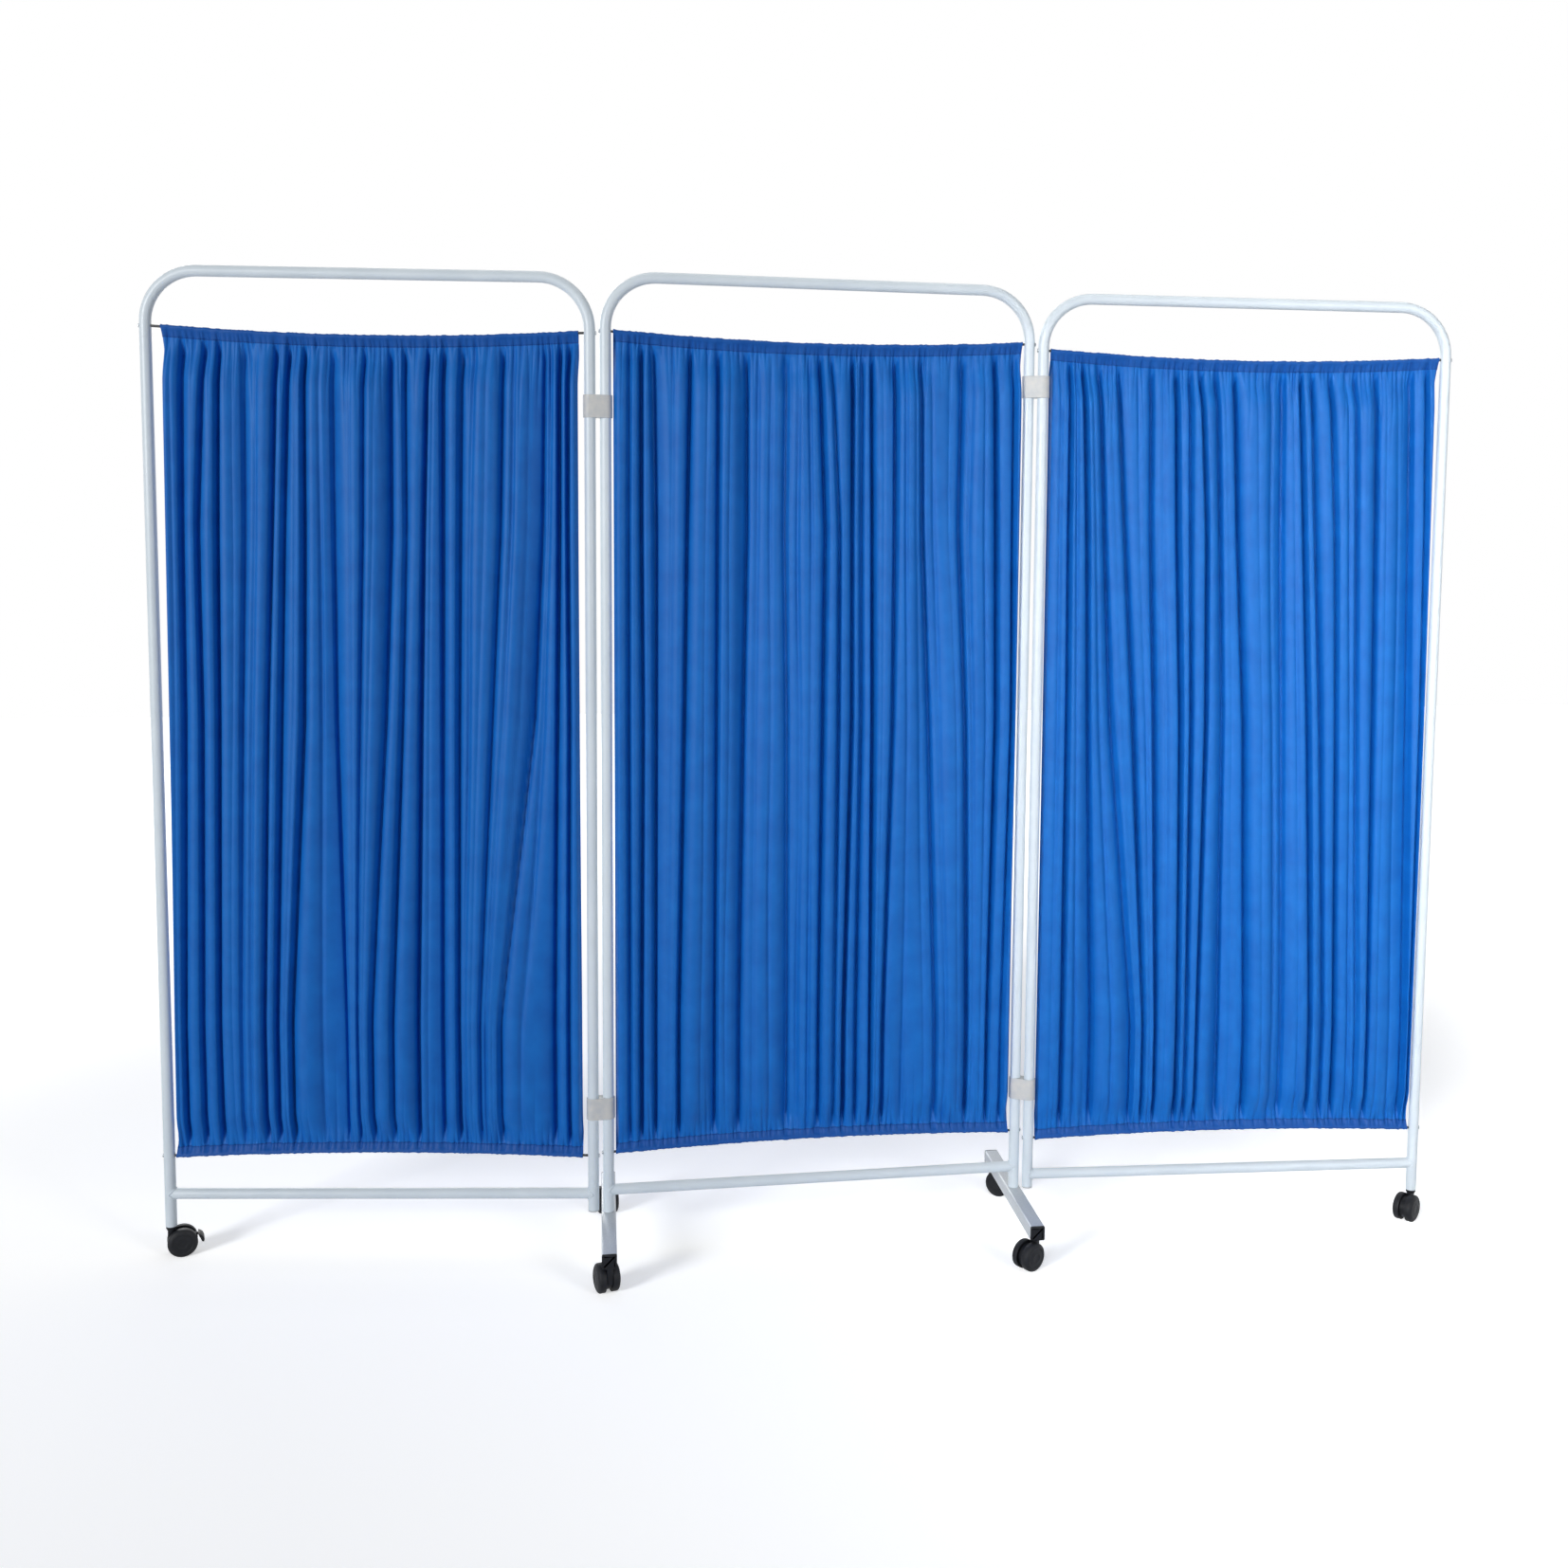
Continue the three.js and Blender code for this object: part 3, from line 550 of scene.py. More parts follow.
# %% Foot bolts
def hex_bolt():
    """Head downwards, with the washer's upper face at Z = 0."""
    head = cylinder(7.5 * MM, 3.6 * MM, (0, 0, -3.2 * MM), sides=6)
    edit(head)
    pick(head, lambda face: face.normal.z < -0.9)
    step(0.7 * MM, z=-0.5 * MM)
    rounded(head, 0.25 * MM, 2, 20)
    washer = rounded(cylinder(8.5 * MM, 1.4 * MM, (0, 0, -0.7 * MM)), 0.3 * MM)
    shank = rounded(cylinder(4 * MM, 54 * MM, (0, 0, 26 * MM), sides=24), 0.5 * MM)
    return closed(joined(head, washer, shank))


bolt_model = hex_bolt()
for side in ("left", "right"):
    place = middle(f"{side}_foot_bolt")
    place.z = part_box(f"{side}_foot_tube")[0].z
    bolt = copied(bolt_model, at(place))
    finished(bolt, side + "_hex_bolt", "middle_panel", "zinc_steel", side + "_foot_bolt")

# %% [markdown]
# ## End plugs of the hinged posts
# The hinged posts of the side panels end just above the foot bars, closed by a pushed-in plug with a
# low dome. A short cylinder gets its lower face inset and lowered twice.

# %% End plugs
for name in ("left", "right"):
    post, low = joint_place[f"{name}_panel_hinge"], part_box(f"{name}_post_end_plug")[0].z
    plug = cylinder(TUBE, 1.4 * MM, (post.x, post.y, low + 1.3 * MM))
    edit(plug)
    pick(plug, lambda face: face.normal.z < -0.9)
    step(1.2 * MM, z=-0.4 * MM)
    step(3 * MM, z=-0.2 * MM)
    pick(plug, lambda face: face.normal.z > 0.9)
    bpy.ops.mesh.inset(thickness=1.6 * MM)
    pull(z=14 * MM)
    finished(closed(plug), f"{name}_domed_plug", f"{name}_panel", "grey_plastic", f"{name}_post_end_plug")

# %% [markdown]
# ## Hinge clips
# Each clip is one moulded sleeve round two neighbouring posts. A cylinder is parted down its middle by
# moving one half along, which leaves a long rounded block, then two bores are cut and every edge is
# softened. Its end faces have two holes each, so they are made triangles before the copies are turned.

# %% Hinge clips
PITCH = 26 * MM  # between the two posts in a clip
CLIP = 11.4 * MM  # outer radius of a clip
CLIP_HEIGHT = 38 * MM
BORE_GAP = 0.25 * MM  # round a post in its bore


def hinge_clip():
    """The first bore stands on the origin and the second on +X."""
    sleeve = cylinder(CLIP, CLIP_HEIGHT, sides=56)
    edit(sleeve, "VERT")
    pick(sleeve, lambda vert: vert.co.x > 0.001 * MM, "verts")
    bpy.ops.transform.translate(value=(PITCH, 0, 0))
    closed(sleeve)
    bores = [cylinder(TUBE + BORE_GAP, 60 * MM, (x, 0, 0), sides=56) for x in (0, PITCH)]
    rounded(combined(sleeve, "DIFFERENCE", *bores), 0.75 * MM, 3)
    return closed(with_modifier(sleeve, "TRIANGULATE"))


clip_model = hinge_clip()
for name in ("left", "right"):
    post = joint_place[f"{name}_clip_hinge"]
    run = joint_place[f"{name}_panel_hinge"] - post
    for height_name in ("upper", "lower"):
        clip = f"{name}_{height_name}_clip"
        sleeve = copied(clip_model, at((post.x, post.y, middle(clip).z), run))
        finished(sleeve, f"{name}_{height_name}_sleeve", name + "_clips", "grey_plastic", clip)

# %% [markdown]
# ## Casters
# Six twin-wheel casters carry the screen. Each has a body between two wheels, with a round seat for its
# stem, and the wheels trail behind the stem. One caster is modelled with its stem on the origin and
# its wheels towards +X, and each piece is then copied to its six places.

# %% Where the casters stand
WHEEL = 24.62 * MM  # radius of a wheel, and the height of its axle
TRAIL = 17 * MM  # from the stem back to the axle
CASTERS = ["left_outer", "left_front", "left_back", "right_front", "right_back", "right_outer"]

caster_matrix = {}
for name in CASTERS:
    stem = joint_place[name + "_caster_swivel"]
    trail = joint_place[name + "_wheel_1_spin"] - stem
    caster_matrix[name] = at(stem, trail)
    print(name, "trail", round(trail.length / MM, 1), "mm")

# %% [markdown]
# ### Caster body
# The body is a disc between the wheels, joined to an upright neck under the stem. The disc, the neck
# and a round seat are fused, and all edges are softened as on moulded plastic.

# %% Caster body
def caster_body():
    disc = cylinder(19.5 * MM, 10 * MM, (TRAIL, 0, WHEEL), "y", sides=64)
    neck = rounded(block((13.4 * MM, 9.9 * MM, 24 * MM), (0.3 * MM, 0, 37 * MM)), 1.5 * MM, 3)
    web = rounded(block((26 * MM, 9.8 * MM, 22 * MM), (7 * MM, 0, 31 * MM)), 1 * MM)
    combined(disc, "UNION", neck, web)
    combined(disc, "UNION", cylinder(7.6 * MM, 2.2 * MM, (0, 0, 48.55 * MM)))
    rounded(disc, 0.5 * MM, 2, 30)
    return closed(with_modifier(disc, "TRIANGULATE"))


# %% [markdown]
# ### Wheel
# A furniture caster's wheel is a cap with a domed outer face. A cylinder is as wide as the rolling
# tread, and its outer face is pulled out and narrowed ring by ring along a dome. A step round the hub
# and a small pressed-in cap finish it.

# %% Wheel
def wheel():
    """On the +Y side of the body, about the axle."""
    inner, width = 5.6 * MM, 17 * MM
    tread = 0.5 * width
    disc = cylinder(WHEEL, tread, (0, inner + tread / 2, 0), "y", sides=64)
    edit(disc)
    pick(disc, lambda face: face.normal.y > 0.9)
    radius, reach = WHEEL, tread
    for share in (0.975, 0.93, 0.87, 0.79, 0.7):
        rise = tread + (width - tread) * 0.82 * math.sqrt(1 - ((share - 0.1) / 0.9) ** 2)
        pull(y=rise - reach)
        bpy.ops.transform.resize(value=(share * WHEEL / radius, 1, share * WHEEL / radius))
        radius, reach = share * WHEEL, rise
    for inset, move in ((1.0, -0.8), (5.5, 1.1), (3.5, 0.5), (0.5, -0.5)):
        step(inset * MM, y=move * MM)
    pick(disc, lambda face: face.normal.y < -0.9)
    bpy.ops.mesh.inset(thickness=1.7 * MM)
    step(2.0 * MM, y=1.0 * MM)
    rounded(disc, 0.35 * MM, 2, 30)
    return closed(disc)


body_model, wheel_model = caster_body(), wheel()
sides = [vertex.co.y / MM for vertex in wheel_model.data.vertices]
print("wheel from", round(min(sides), 2), "to", round(max(sides), 2), "mm")

# %% [markdown]
# ### Stem seats
# The stem has a round black flange that shows between the caster's body and what it carries. It is a
# short cylinder with softened edges.

# %% Place the casters
FLANGE_LOW = 50 * MM
FLANGE_TOP = {True: 53.7 * MM, False: 52.2 * MM}  # under an outer post, and under a foot bar

for name in CASTERS:
    matrix, outer = caster_matrix[name], name.endswith("outer")
    finished(copied(body_model, matrix), name + "_twin_wheel_body", name + "_caster", "black_plastic",
             name + "_caster_body")
    low, high = (corner.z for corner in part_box(name + "_caster_stem"))
    top = FLANGE_TOP[outer]
    flange = rounded(cylinder(9 * MM, top - FLANGE_LOW, (0, 0, (top + FLANGE_LOW) / 2)), 0.5 * MM)
    pin = rounded(cylinder(3.2 * MM, high - low, (0, 0, (low + high) / 2), sides=24), 0.5 * MM)
    carrier = f"{name.split('_')[0]}_panel" if outer else "middle_panel"
    finished(placed(closed(joined(flange, pin)), matrix), name + "_stem_flange", carrier, "black_plastic",
             name + "_caster_stem")
    for number, side in ((1, 1), (2, -1)):
        spot = matrix @ at((TRAIL, 0, WHEEL), (side, 0))
        finished(copied(wheel_model, spot), f"{name}_domed_wheel_{number}", f"{name}_wheel_{number}",
                 "black_tread", f"{name}_wheel_{number}")
for model in (head_model, cap_model, bolt_model, clip_model, body_model, wheel_model):
    bpy.data.objects.remove(model)

# %% [markdown]
# ### Brake lever
# The left outer caster has a foot brake. Its outline is the CAD solid's, so a copy of that mesh is
# merged, its flat faces are cleaned up and its edges rounded.

# %% Brake lever
lever = copied(frame["nodes"]["left_outer_brake_lever"], Matrix.Identity(4))
for key in list(lever.keys()):
    del lever[key]
merged(lever)
bpy.ops.mesh.dissolve_limited(angle_limit=math.radians(2))
rounded(lever, 0.45 * MM, 2, 30)
finished(closed(lever), "left_outer_foot_lever", "left_outer_brake", "black_plastic", "left_outer_brake_lever")

# %% Axles keep their solids
for name in CASTERS:
    node = frame["nodes"][name + "_caster_axle"]
    node.data.materials.clear()
    node.data.materials.append(FINISHES["zinc_steel"])
print("axles", len(CASTERS))

# %% [markdown]
# ## Curtain cloth
# The curtains are blue polyester in a plain weave, thin, with the faint satin of filament yarn. Threads
# half a millimetre apart can't show from three metres, so the weave is drawn at 1.2 mm and kept very low.
# The casing and the hem are double cloth, and they are painted a little darker: painted shade for the light
# that the doubled cloth holds back. A line of stitches pulls a small groove along their seams, and the
# stitches in it are painted darker as painted shade in the groove. Both patterns follow the cloth's own
# maps, which are laid out in metres.

# %% Polyester cloth
tree, shader = new_finish("blue_cloth", "blue_polyester_plain_weave", Roughness=0.5, IOR=1.45,
                          Specular_IOR_Level=0.3)
WAVE = 2 * math.pi / 20  # the wave texture turns 20 radians in each unit
THREAD, PATCH, STITCH = 1.2, 45, 3.6  # drawn thread spacing, patches of tone and stitch length, in mm

cloth_map = add_node(tree, "UVMap", uv_map="cloth")
wave = {"Vector": cloth_map, "Scale": WAVE * per_metre(THREAD), "Distortion": 1.5, "Detail": 1.0}
threads = [add_node(tree, "TexWave", wave, bands_direction=way).outputs["Fac"] for way in ("X", "Y")]
weave = add_node(tree, "Math", dict(enumerate(threads)), operation="ADD")
tone = two_tones(tree, cloth_map, PATCH, 4.0, "0862B8", "0C6DC4")

seam_map = add_node(tree, "UVMap", uv_map="seam")
seam = add_node(tree, "SeparateXYZ", {"Vector": seam_map}).outputs
# Painted shade: the casing and hem band is made darker for the light that the doubled cloth holds back.
doubled_cloth_shade = add_node(tree, "MapRange", {
    "Value": seam["Y"], "From Min": 0.8 * MM, "From Max": -0.8 * MM, "To Min": 0.0, "To Max": 0.6})
off_seam = add_node(tree, "Math", {0: seam["Y"]}, operation="ABSOLUTE")
groove = add_node(tree, "MapRange", {
    "Value": off_seam, "From Min": 0.3 * MM, "From Max": 1.3 * MM, "To Min": 1.0, "To Max": 0.0})
stitches = add_node(tree, "Math", {0: seam["X"], 1: per_metre(STITCH)}, operation="MULTIPLY")
along = add_node(tree, "Math", {0: stitches}, operation="FRACT")
stitch = add_node(tree, "Math", {0: along, 1: 0.72}, operation="LESS_THAN")
# Painted shade: the stitches are made darker where they sink into the seam groove.
stitch_groove_shade = add_node(tree, "Math", {0: stitch, 1: groove}, operation="MULTIPLY")
# Both masks mix painted shade into the cloth's colour.
for share, dark in ((doubled_cloth_shade, "0C3F8C"), (stitch_groove_shade, "0B3A84")):
    tone = add_node(tree, "Mix", {0: share, 6: tone, 7: colour(dark)}, data_type="RGBA").outputs[2]
tree.links.new(tone, shader.inputs["Base Color"])
weave_bump = add_node(tree, "Bump", {"Height": weave, "Distance": 0.1 * MM, "Strength": 0.4})
seam_bump = add_node(tree, "Bump", {
    "Height": groove, "Distance": 0.6 * MM, "Strength": 0.8, "Normal": weave_bump}, invert=True)
tree.links.new(seam_bump.outputs["Normal"], shader.inputs["Normal"])
print("threads", THREAD, "mm, stitches", STITCH, "mm")

# %% [markdown]
# ## Where the folds lie
# Gathered cloth hangs in rounded columns with a narrow dark crease between each two. The creases were
# read from the photograph at four heights, as pixels, and a ray through the camera brings each
# one onto its panel's plane. Each crease also has a depth from 0 to 1.

# %% Creases read from the photograph
READ_AT = (400, 560, 760, 960)
CREASES = {
    "left": [
        (191, 192, 195, 195, 0.8), (214, 209, 214, 214, 0.9), (230, 230, 232, 232, 0.8),
        (256, 258, 256, 256, 0.35), (290, 287, 283, 281, 0.7), (303, 299, 296, 294, 0.9),
        (320, 321, 320, 312, 0.8), (350, 352, 355, 362, 0.5), (384, 384, 382, 380, 0.3),
        (411, 412, 407, 398, 0.8), (426, 428, 424, 418, 0.5), (451, 447, 444, 442, 0.9),
        (467, 467, 467, 467, 0.8), (486, 485, 484, 484, 0.9), (530, 528, 520, 512, 0.35),
        (574, 572, 563, 541, 0.7), (590, 590, 588, 586, 0.9), (600, 600, 602, 601, 0.7),
    ],
    "middle": [
        (664, 663, 663, 664, 0.4), (676, 676, 678, 677, 0.8), (688, 691, 691, 691, 0.9),
        (728, 725, 722, 718, 0.8), (758, 757, 756, 755, 0.8), (788, 788, 784, 781, 0.8),
        (830, 828, 830, 830, 0.9), (866, 871, 868, 865, 0.9), (878, 885, 884, 881, 0.5),
        (900, 899, 899, 893, 0.8), (910, 909, 909, 905, 0.5), (920, 921, 921, 919, 0.9),
        (945, 944, 941, 934, 0.8), (971, 972, 980, 984, 0.8), (1016, 1012, 1018, 1019, 0.9),
        (1050, 1051, 1051, 1045, 0.7), (1070, 1068, 1067, 1060, 0.6),
    ],
    "right": [
        (1130, 1127, 1125, 1122, 0.8), (1143, 1146, 1147, 1150, 0.8), (1160, 1165, 1172, 1186, 0.8),
        (1180, 1187, 1196, 1202, 0.8), (1216, 1215, 1218, 1218, 0.9), (1242, 1242, 1244, 1242, 0.9),
        (1256, 1255, 1255, 1252, 0.7), (1267, 1272, 1271, 1265, 0.7), (1284, 1287, 1290, 1287, 0.8),
        (1303, 1306, 1313, 1313, 0.9), (1355, 1353, 1353, 1352, 0.9), (1373, 1376, 1379, 1380, 0.8),
        (1385, 1388, 1392, 1394, 0.8), (1404, 1408, 1408, 1408, 0.7), (1430, 1430, 1430, 1430, 0.5),
        (1452, 1451, 1448, 1444, 0.7), (1490, 1489, 1486, 1482, 0.8), (1506, 1504, 1498, 1490, 0.6),
    ],
}


def on_panel(panel, px, py):
    """The point of a panel's plane that the camera sees at a pixel, in the panel's own axes."""
    ray = ahead * FOCAL + right * (px - CENTRE_X) - up * (py - CENTRE_Y)
    inverse = panel["matrix"].inverted()
    start = inverse @ camera_place
    way = inverse.to_3x3() @ ray
    return start - way * (start.y / way.y)


def crease_lines(panel):
    lines = []
    for *pixels, depth in CREASES[panel["name"]]:
        spots = [on_panel(panel, px, py) for px, py in zip(pixels, READ_AT)]
        lines.append(([(spot.z, spot.x) for spot in spots], depth))
    return lines


for panel in panels:
    panel["creases"] = crease_lines(panel)
    print(panel["name"], "creases at mm", [round(line[0][1] / MM) for line, depth in panel["creases"]])

# %% [markdown]
# ## Gathered curtains
# A curtain is one sheet. It starts behind the upper casing, runs over the wire, down through the folds,
# round the lower wire and up behind the hem. Cloth simulation could gather it, but it wouldn't put the
# folds where the photograph has them, so the sheet is laid out row by row. A crease pushes the cloth
# back in a steep line with soft shoulders, and between two main ones the cloth bulges forwards and leans
# a little to one side. Shallower creases between them follow them, and short ones stand under the
# casing and over the hem, each with its own length.

# %% Sizes of a curtain
EDGE = 12.8 * MM  # from a post's axis to the curtain's side edge
INSET = {"left": ((0, 12.7 * MM), (5.7 * MM, 5.7 * MM))}  # more at each side, at the hem and at the casing
SEAM = {"top": 15.5 * MM, "bottom": 13.5 * MM}  # from a wire to the seam of its casing
OVER_WIRE = 3.1 * MM  # from a wire's axis to the cloth over it
FORWARD = 10.5 * MM  # how far the open cloth stands before it
DEEP = 20 * MM  # depth of a full main crease
TRENCH = 3.8 * MM  # half the width of its steep part
CLOSEST = 6 * MM  # least distance between two main creases
SPACING = 22 * MM  # usual distance between long creases
SHORT_SPACING = 9.5 * MM
COUNTED_AT = 0.6  # metres below the upper wire, where the gaps between main creases are measured
COLUMNS = 760
BACK_SHARES, ARC_STEPS, FRONT_SHARES = (1, 0.66, 0.33), 8, (0.25, 0.5, 0.75, 1)
SEAM_ROW = len(BACK_SHARES) + ARC_STEPS + len(FRONT_SHARES)
NEAR_SEAM = [distance * MM for distance in (3, 6, 10, 15, 21, 28, 36, 45, 56, 68, 82, 98, 116)]


def smooth(share):
    share = min(max(share, 0), 1)
    return share * share * (3 - 2 * share)


def across(panel, share):
    """The places of the columns, from one side edge to the other, at a share of the height."""
    (left_low, left_high), (right_low, right_high) = INSET.get(panel["name"], ((0, 0), (0, 0)))
    left = -panel["half"] + EDGE + left_low + (left_high - left_low) * share
    right_edge = panel["half"] - EDGE - right_low - (right_high - right_low) * share
    return [left + (right_edge - left) * i / COLUMNS for i in range(COLUMNS + 1)]


print("columns every", round((panels[1]["half"] - EDGE) * 2 / COLUMNS / MM, 2), "mm")


# %% Which creases there are
def at_height(line, z):
    """A crease's place at a height, between its four readings and a little straight on past them."""
    points = sorted(line)
    for (z0, x0), (z1, x1) in zip(points, points[1:]):
        if z <= z1 or (z1, x1) == points[-1]:
            share = (z - z0) / (z1 - z0)
            return x0 + (x1 - x0) * min(max(share, -0.6), 1.5)


def main_places(panel, left, right_edge, z):
    """The side edges and the main creases at one height, from left to right."""
    places = [left] + sorted(at_height(line, z) for line, depth in panel["creases"]) + [right_edge]
    for i in range(1, len(places)):
        places[i] = max(places[i], places[i - 1] + CLOSEST)
    places[-1] = right_edge
    for i in range(len(places) - 2, -1, -1):
        places[i] = min(places[i], places[i + 1] - CLOSEST)
    places[0] = left
    return places


def crease_plan(panel, seed):
    """All long creases, in order: after which main one, at what share of the gap, how far it drifts, how
    deep, how much of it is steep, and how it beats. Also how far the cloth of each gap leans to one side."""
    dice = random.Random(seed)
    edge = panel["half"] - EDGE
    places = main_places(panel, -edge, edge, panel["top_wire"] - COUNTED_AT)
    depths = [0.5] + [depth for line, depth in panel["creases"]] + [0.5]
    plan = []
    for i, depth in enumerate(depths):
        beat = (dice.uniform(2, 6), dice.uniform(0, 2 * math.pi), 0.4)
        plan.append((i, 0.0, 0.0, 1.15 * depth, dice.uniform(0.5, 0.8), beat))
        if i + 1 < len(places):
            count = max(0, round((places[i + 1] - places[i]) / SPACING) - 1)
            for k in range(count):
                share = (k + 1 + dice.uniform(-0.3, 0.3)) / (count + 1)
                beat = (dice.uniform(3, 9), dice.uniform(0, 2 * math.pi), 0.6)
                drift = dice.uniform(-0.1, 0.1) / (count + 1)
                plan.append((i, share, drift, 0.04 + 0.3 * dice.random() ** 2, 0.3, beat))
    leans = [dice.uniform(0.05, 0.28) * dice.choice((-1, 1)) for _ in depths]
    return plan, leans


def short_creases(seed, half):
    """Short creases that start at the casing or the hem: place, lean, depth, width and reach."""
    dice = random.Random(seed)
    short = {}
    for end, reach in (("top", 250 * MM), ("bottom", 170 * MM)):
        short[end], x = [], -half
        while x < half:
            short[end].append((x, dice.uniform(-0.05, 0.05), dice.uniform(2.0, 7.0) * MM,
                               dice.uniform(2.0, 4.2) * MM, 35 * MM + reach * dice.random() ** 2))
            x += SHORT_SPACING * dice.uniform(0.55, 1.6)
    return short


def slow_waves(seed):
    """Broad slow swells of the whole cloth: turns per metre across and down, start and strength."""
    dice = random.Random(seed)
    waves = []
    for _ in range(5):
        turns = dice.uniform(25, 85)
        waves.append((turns, dice.uniform(-2.5, 2.5), dice.uniform(0, 2 * math.pi), 0.13 / turns))
    return waves


# %% How deep the creases are
def columns_near(xs, x0, x1):
    pitch = xs[1] - xs[0]
    return range(max(0, int((x0 - xs[0]) / pitch)), min(len(xs), int((x1 - xs[0]) / pitch) + 2))


def columns_between(xs, x0, x1):
    """Each column between two places, and where it is there, from -1 to 1."""
    return [(i, 2 * (xs[i] - x0) / (x1 - x0) - 1) for i in columns_near(xs, x0, x1) if x0 <= xs[i] < x1]


def press(row, xs, place, depth, width_left, width_right, trench=0):
    """Add one crease to a row of depths: soft shoulders, and a share of it as a steep narrow trench."""
    for i in columns_near(xs, place - 5 * width_left, place + 5 * width_right):
        away = abs(xs[i] - place)
        width = width_left if xs[i] < place else width_right
        row[i] += depth * (1 - trench) * math.exp(-away / width)
        if trench:
            row[i] += depth * trench * math.exp(-(away / min(width, TRENCH)) ** 4)


def long_row(panel, xs, z, opened):
    """Depths of the long creases at one height. Near a casing they are shallow and narrow."""
    row = [0.0] * len(xs)
    mains = main_places(panel, xs[0], xs[-1], z) + [xs[-1] + 30 * MM]
    lines = []
    for i, share, drift, depth, trench, (rate, start, swing) in panel["plan"]:
        beat = math.sin(rate * z + start)
        place = mains[i] + (share + drift * beat) * (mains[i + 1] - mains[i])
        lines.append((place, depth * (1 - swing * (0.5 + 0.5 * beat)), trench))
    for (x0, *_), (x1, *_) in zip(lines, lines[1:]):
        bulge = min(0.08 * (x1 - x0), 3.5 * MM) * (0.25 + 0.75 * opened)
        for i, share in columns_between(xs, x0, x1):
            row[i] += bulge * share ** 2
    for lean, x0, x1 in zip(panel["leans"], mains, mains[1:]):
        half_gap = min(x1 - x0, 60 * MM) / 2
        for i, share in columns_between(xs, x0, x1):
            leaning = lean * half_gap * share * (1 - share ** 4)
            row[i] += (0.34 * half_gap * share ** 2 + leaning) * (0.3 + 0.7 * opened)
    open_depth, open_width = 0.6 + 0.4 * opened, 0.5 + 0.5 * opened
    for i, (place, depth, trench) in enumerate(lines):
        gap_left = place - lines[i - 1][0] if i else 20 * MM
        gap_right = lines[i + 1][0] - place if i + 1 < len(lines) else 20 * MM
        widths = [min(max(0.34 * gap, 2.6 * MM), 9 * MM) * open_width for gap in (gap_left, gap_right)]
        press(row, xs, place, DEEP * depth * open_depth, *widths, trench=trench)
    return row


def short_row(creases, xs, away):
    """Depths of the short creases at a distance from the seam that they start at."""
    row = [0.0] * len(xs)
    for place, lean, depth, width, reach in creases:
        if away < reach:
            left = math.exp(-away / (0.45 * reach)) * (1 - away / reach)
            press(row, xs, place + lean * away, depth * left, width, width)
    return row


def squeezed(deep, opened):
    """A depth past the room that there is grows ever slower, and a casing has less room than open cloth."""
    room, slack = (5 + 12 * opened) * MM, (5 + 4 * opened) * MM
    spare = deep - room
    return deep if spare <= 0 else room + spare / (1 + spare / slack)


# %% The rows of one curtain
def casing(panel, end):
    """The rows behind, over and in front of a wire, from the back seam to the front one."""
    upwards = 1 if end == "top" else -1
    xs = across(panel, 1 if end == "top" else 0)
    heights = [wire_height(panel, end, x) for x in xs]
    ridges = [squeezed(a + 0.4 * b, 0) for a, b in
              zip(short_row(panel["short"][end], xs, 0), long_row(panel, xs, panel[end + "_wire"], 0))]
    rows = []
    for side, shares in ((1, BACK_SHARES), (0, range(ARC_STEPS + 1)), (-1, FRONT_SHARES)):
        for share in shares:
            points = []
            for x, height, ridge in zip(xs, heights, ridges):
                if side:
                    bulge = side * (0.5 * MM + 2.8 * MM * (1 - smooth(share)))
                    y, rise = bulge + ridge * (0.3 + 0.7 * share), -share * SEAM[end]
                else:
                    turn, reach = math.pi * share / ARC_STEPS, OVER_WIRE + 0.22 * ridge
                    y, rise = reach * math.cos(turn), reach * math.sin(turn)
                points.append((x, y, height + upwards * rise))
            rows.append(points)
    return rows


def body_row(panel, down, reach, seams):
    """One row between the two seams, at a distance down from the upper one."""
    share = down / reach
    xs = across(panel, 1 - share)
    z = seams[0][COLUMNS // 2] - down
    opened = smooth(down / (30 * MM)) * smooth((reach - down) / (30 * MM))
    risen = smooth(down / (75 * MM)) * smooth((reach - down) / (60 * MM))
    short = panel["short"]
    depths = zip(long_row(panel, xs, z, opened), short_row(short["top"], xs, down),
                 short_row(short["bottom"], xs, reach - down))
    points = []
    for x, seam_top, seam_low, (long_depth, high_depth, low_depth) in zip(xs, *seams, depths):
        swell = sum(size * math.sin(kx * x + kz * z + start) for kx, kz, start, size in panel["waves"])
        front = -0.5 * MM - FORWARD * risen + risen * swell
        deep = squeezed(long_depth + (high_depth + low_depth), opened)
        points.append((x, front + deep, seam_top * (1 - share) + seam_low * share))
    return points


def curtain(panel):
    seams = ([wire_height(panel, "top", x) - SEAM["top"] for x in across(panel, 1)],
             [wire_height(panel, "bottom", x) + SEAM["bottom"] for x in across(panel, 0)])
    reach = seams[0][COLUMNS // 2] - seams[1][COLUMNS // 2]
    downs = NEAR_SEAM + [i / 46 * reach for i in range(5, 42)] + [reach - away for away in reversed(NEAR_SEAM)]
    body = [body_row(panel, down, reach, seams) for down in downs]
    return casing(panel, "top") + body + casing(panel, "bottom")[::-1]


# %% A mesh from the rows
def lengths(points):
    """How far along a line each of its points is."""
    along = [0.0]
    for a, b in zip(points, points[1:]):
        along.append(along[-1] + (Vector(a) - Vector(b)).length)
    return along


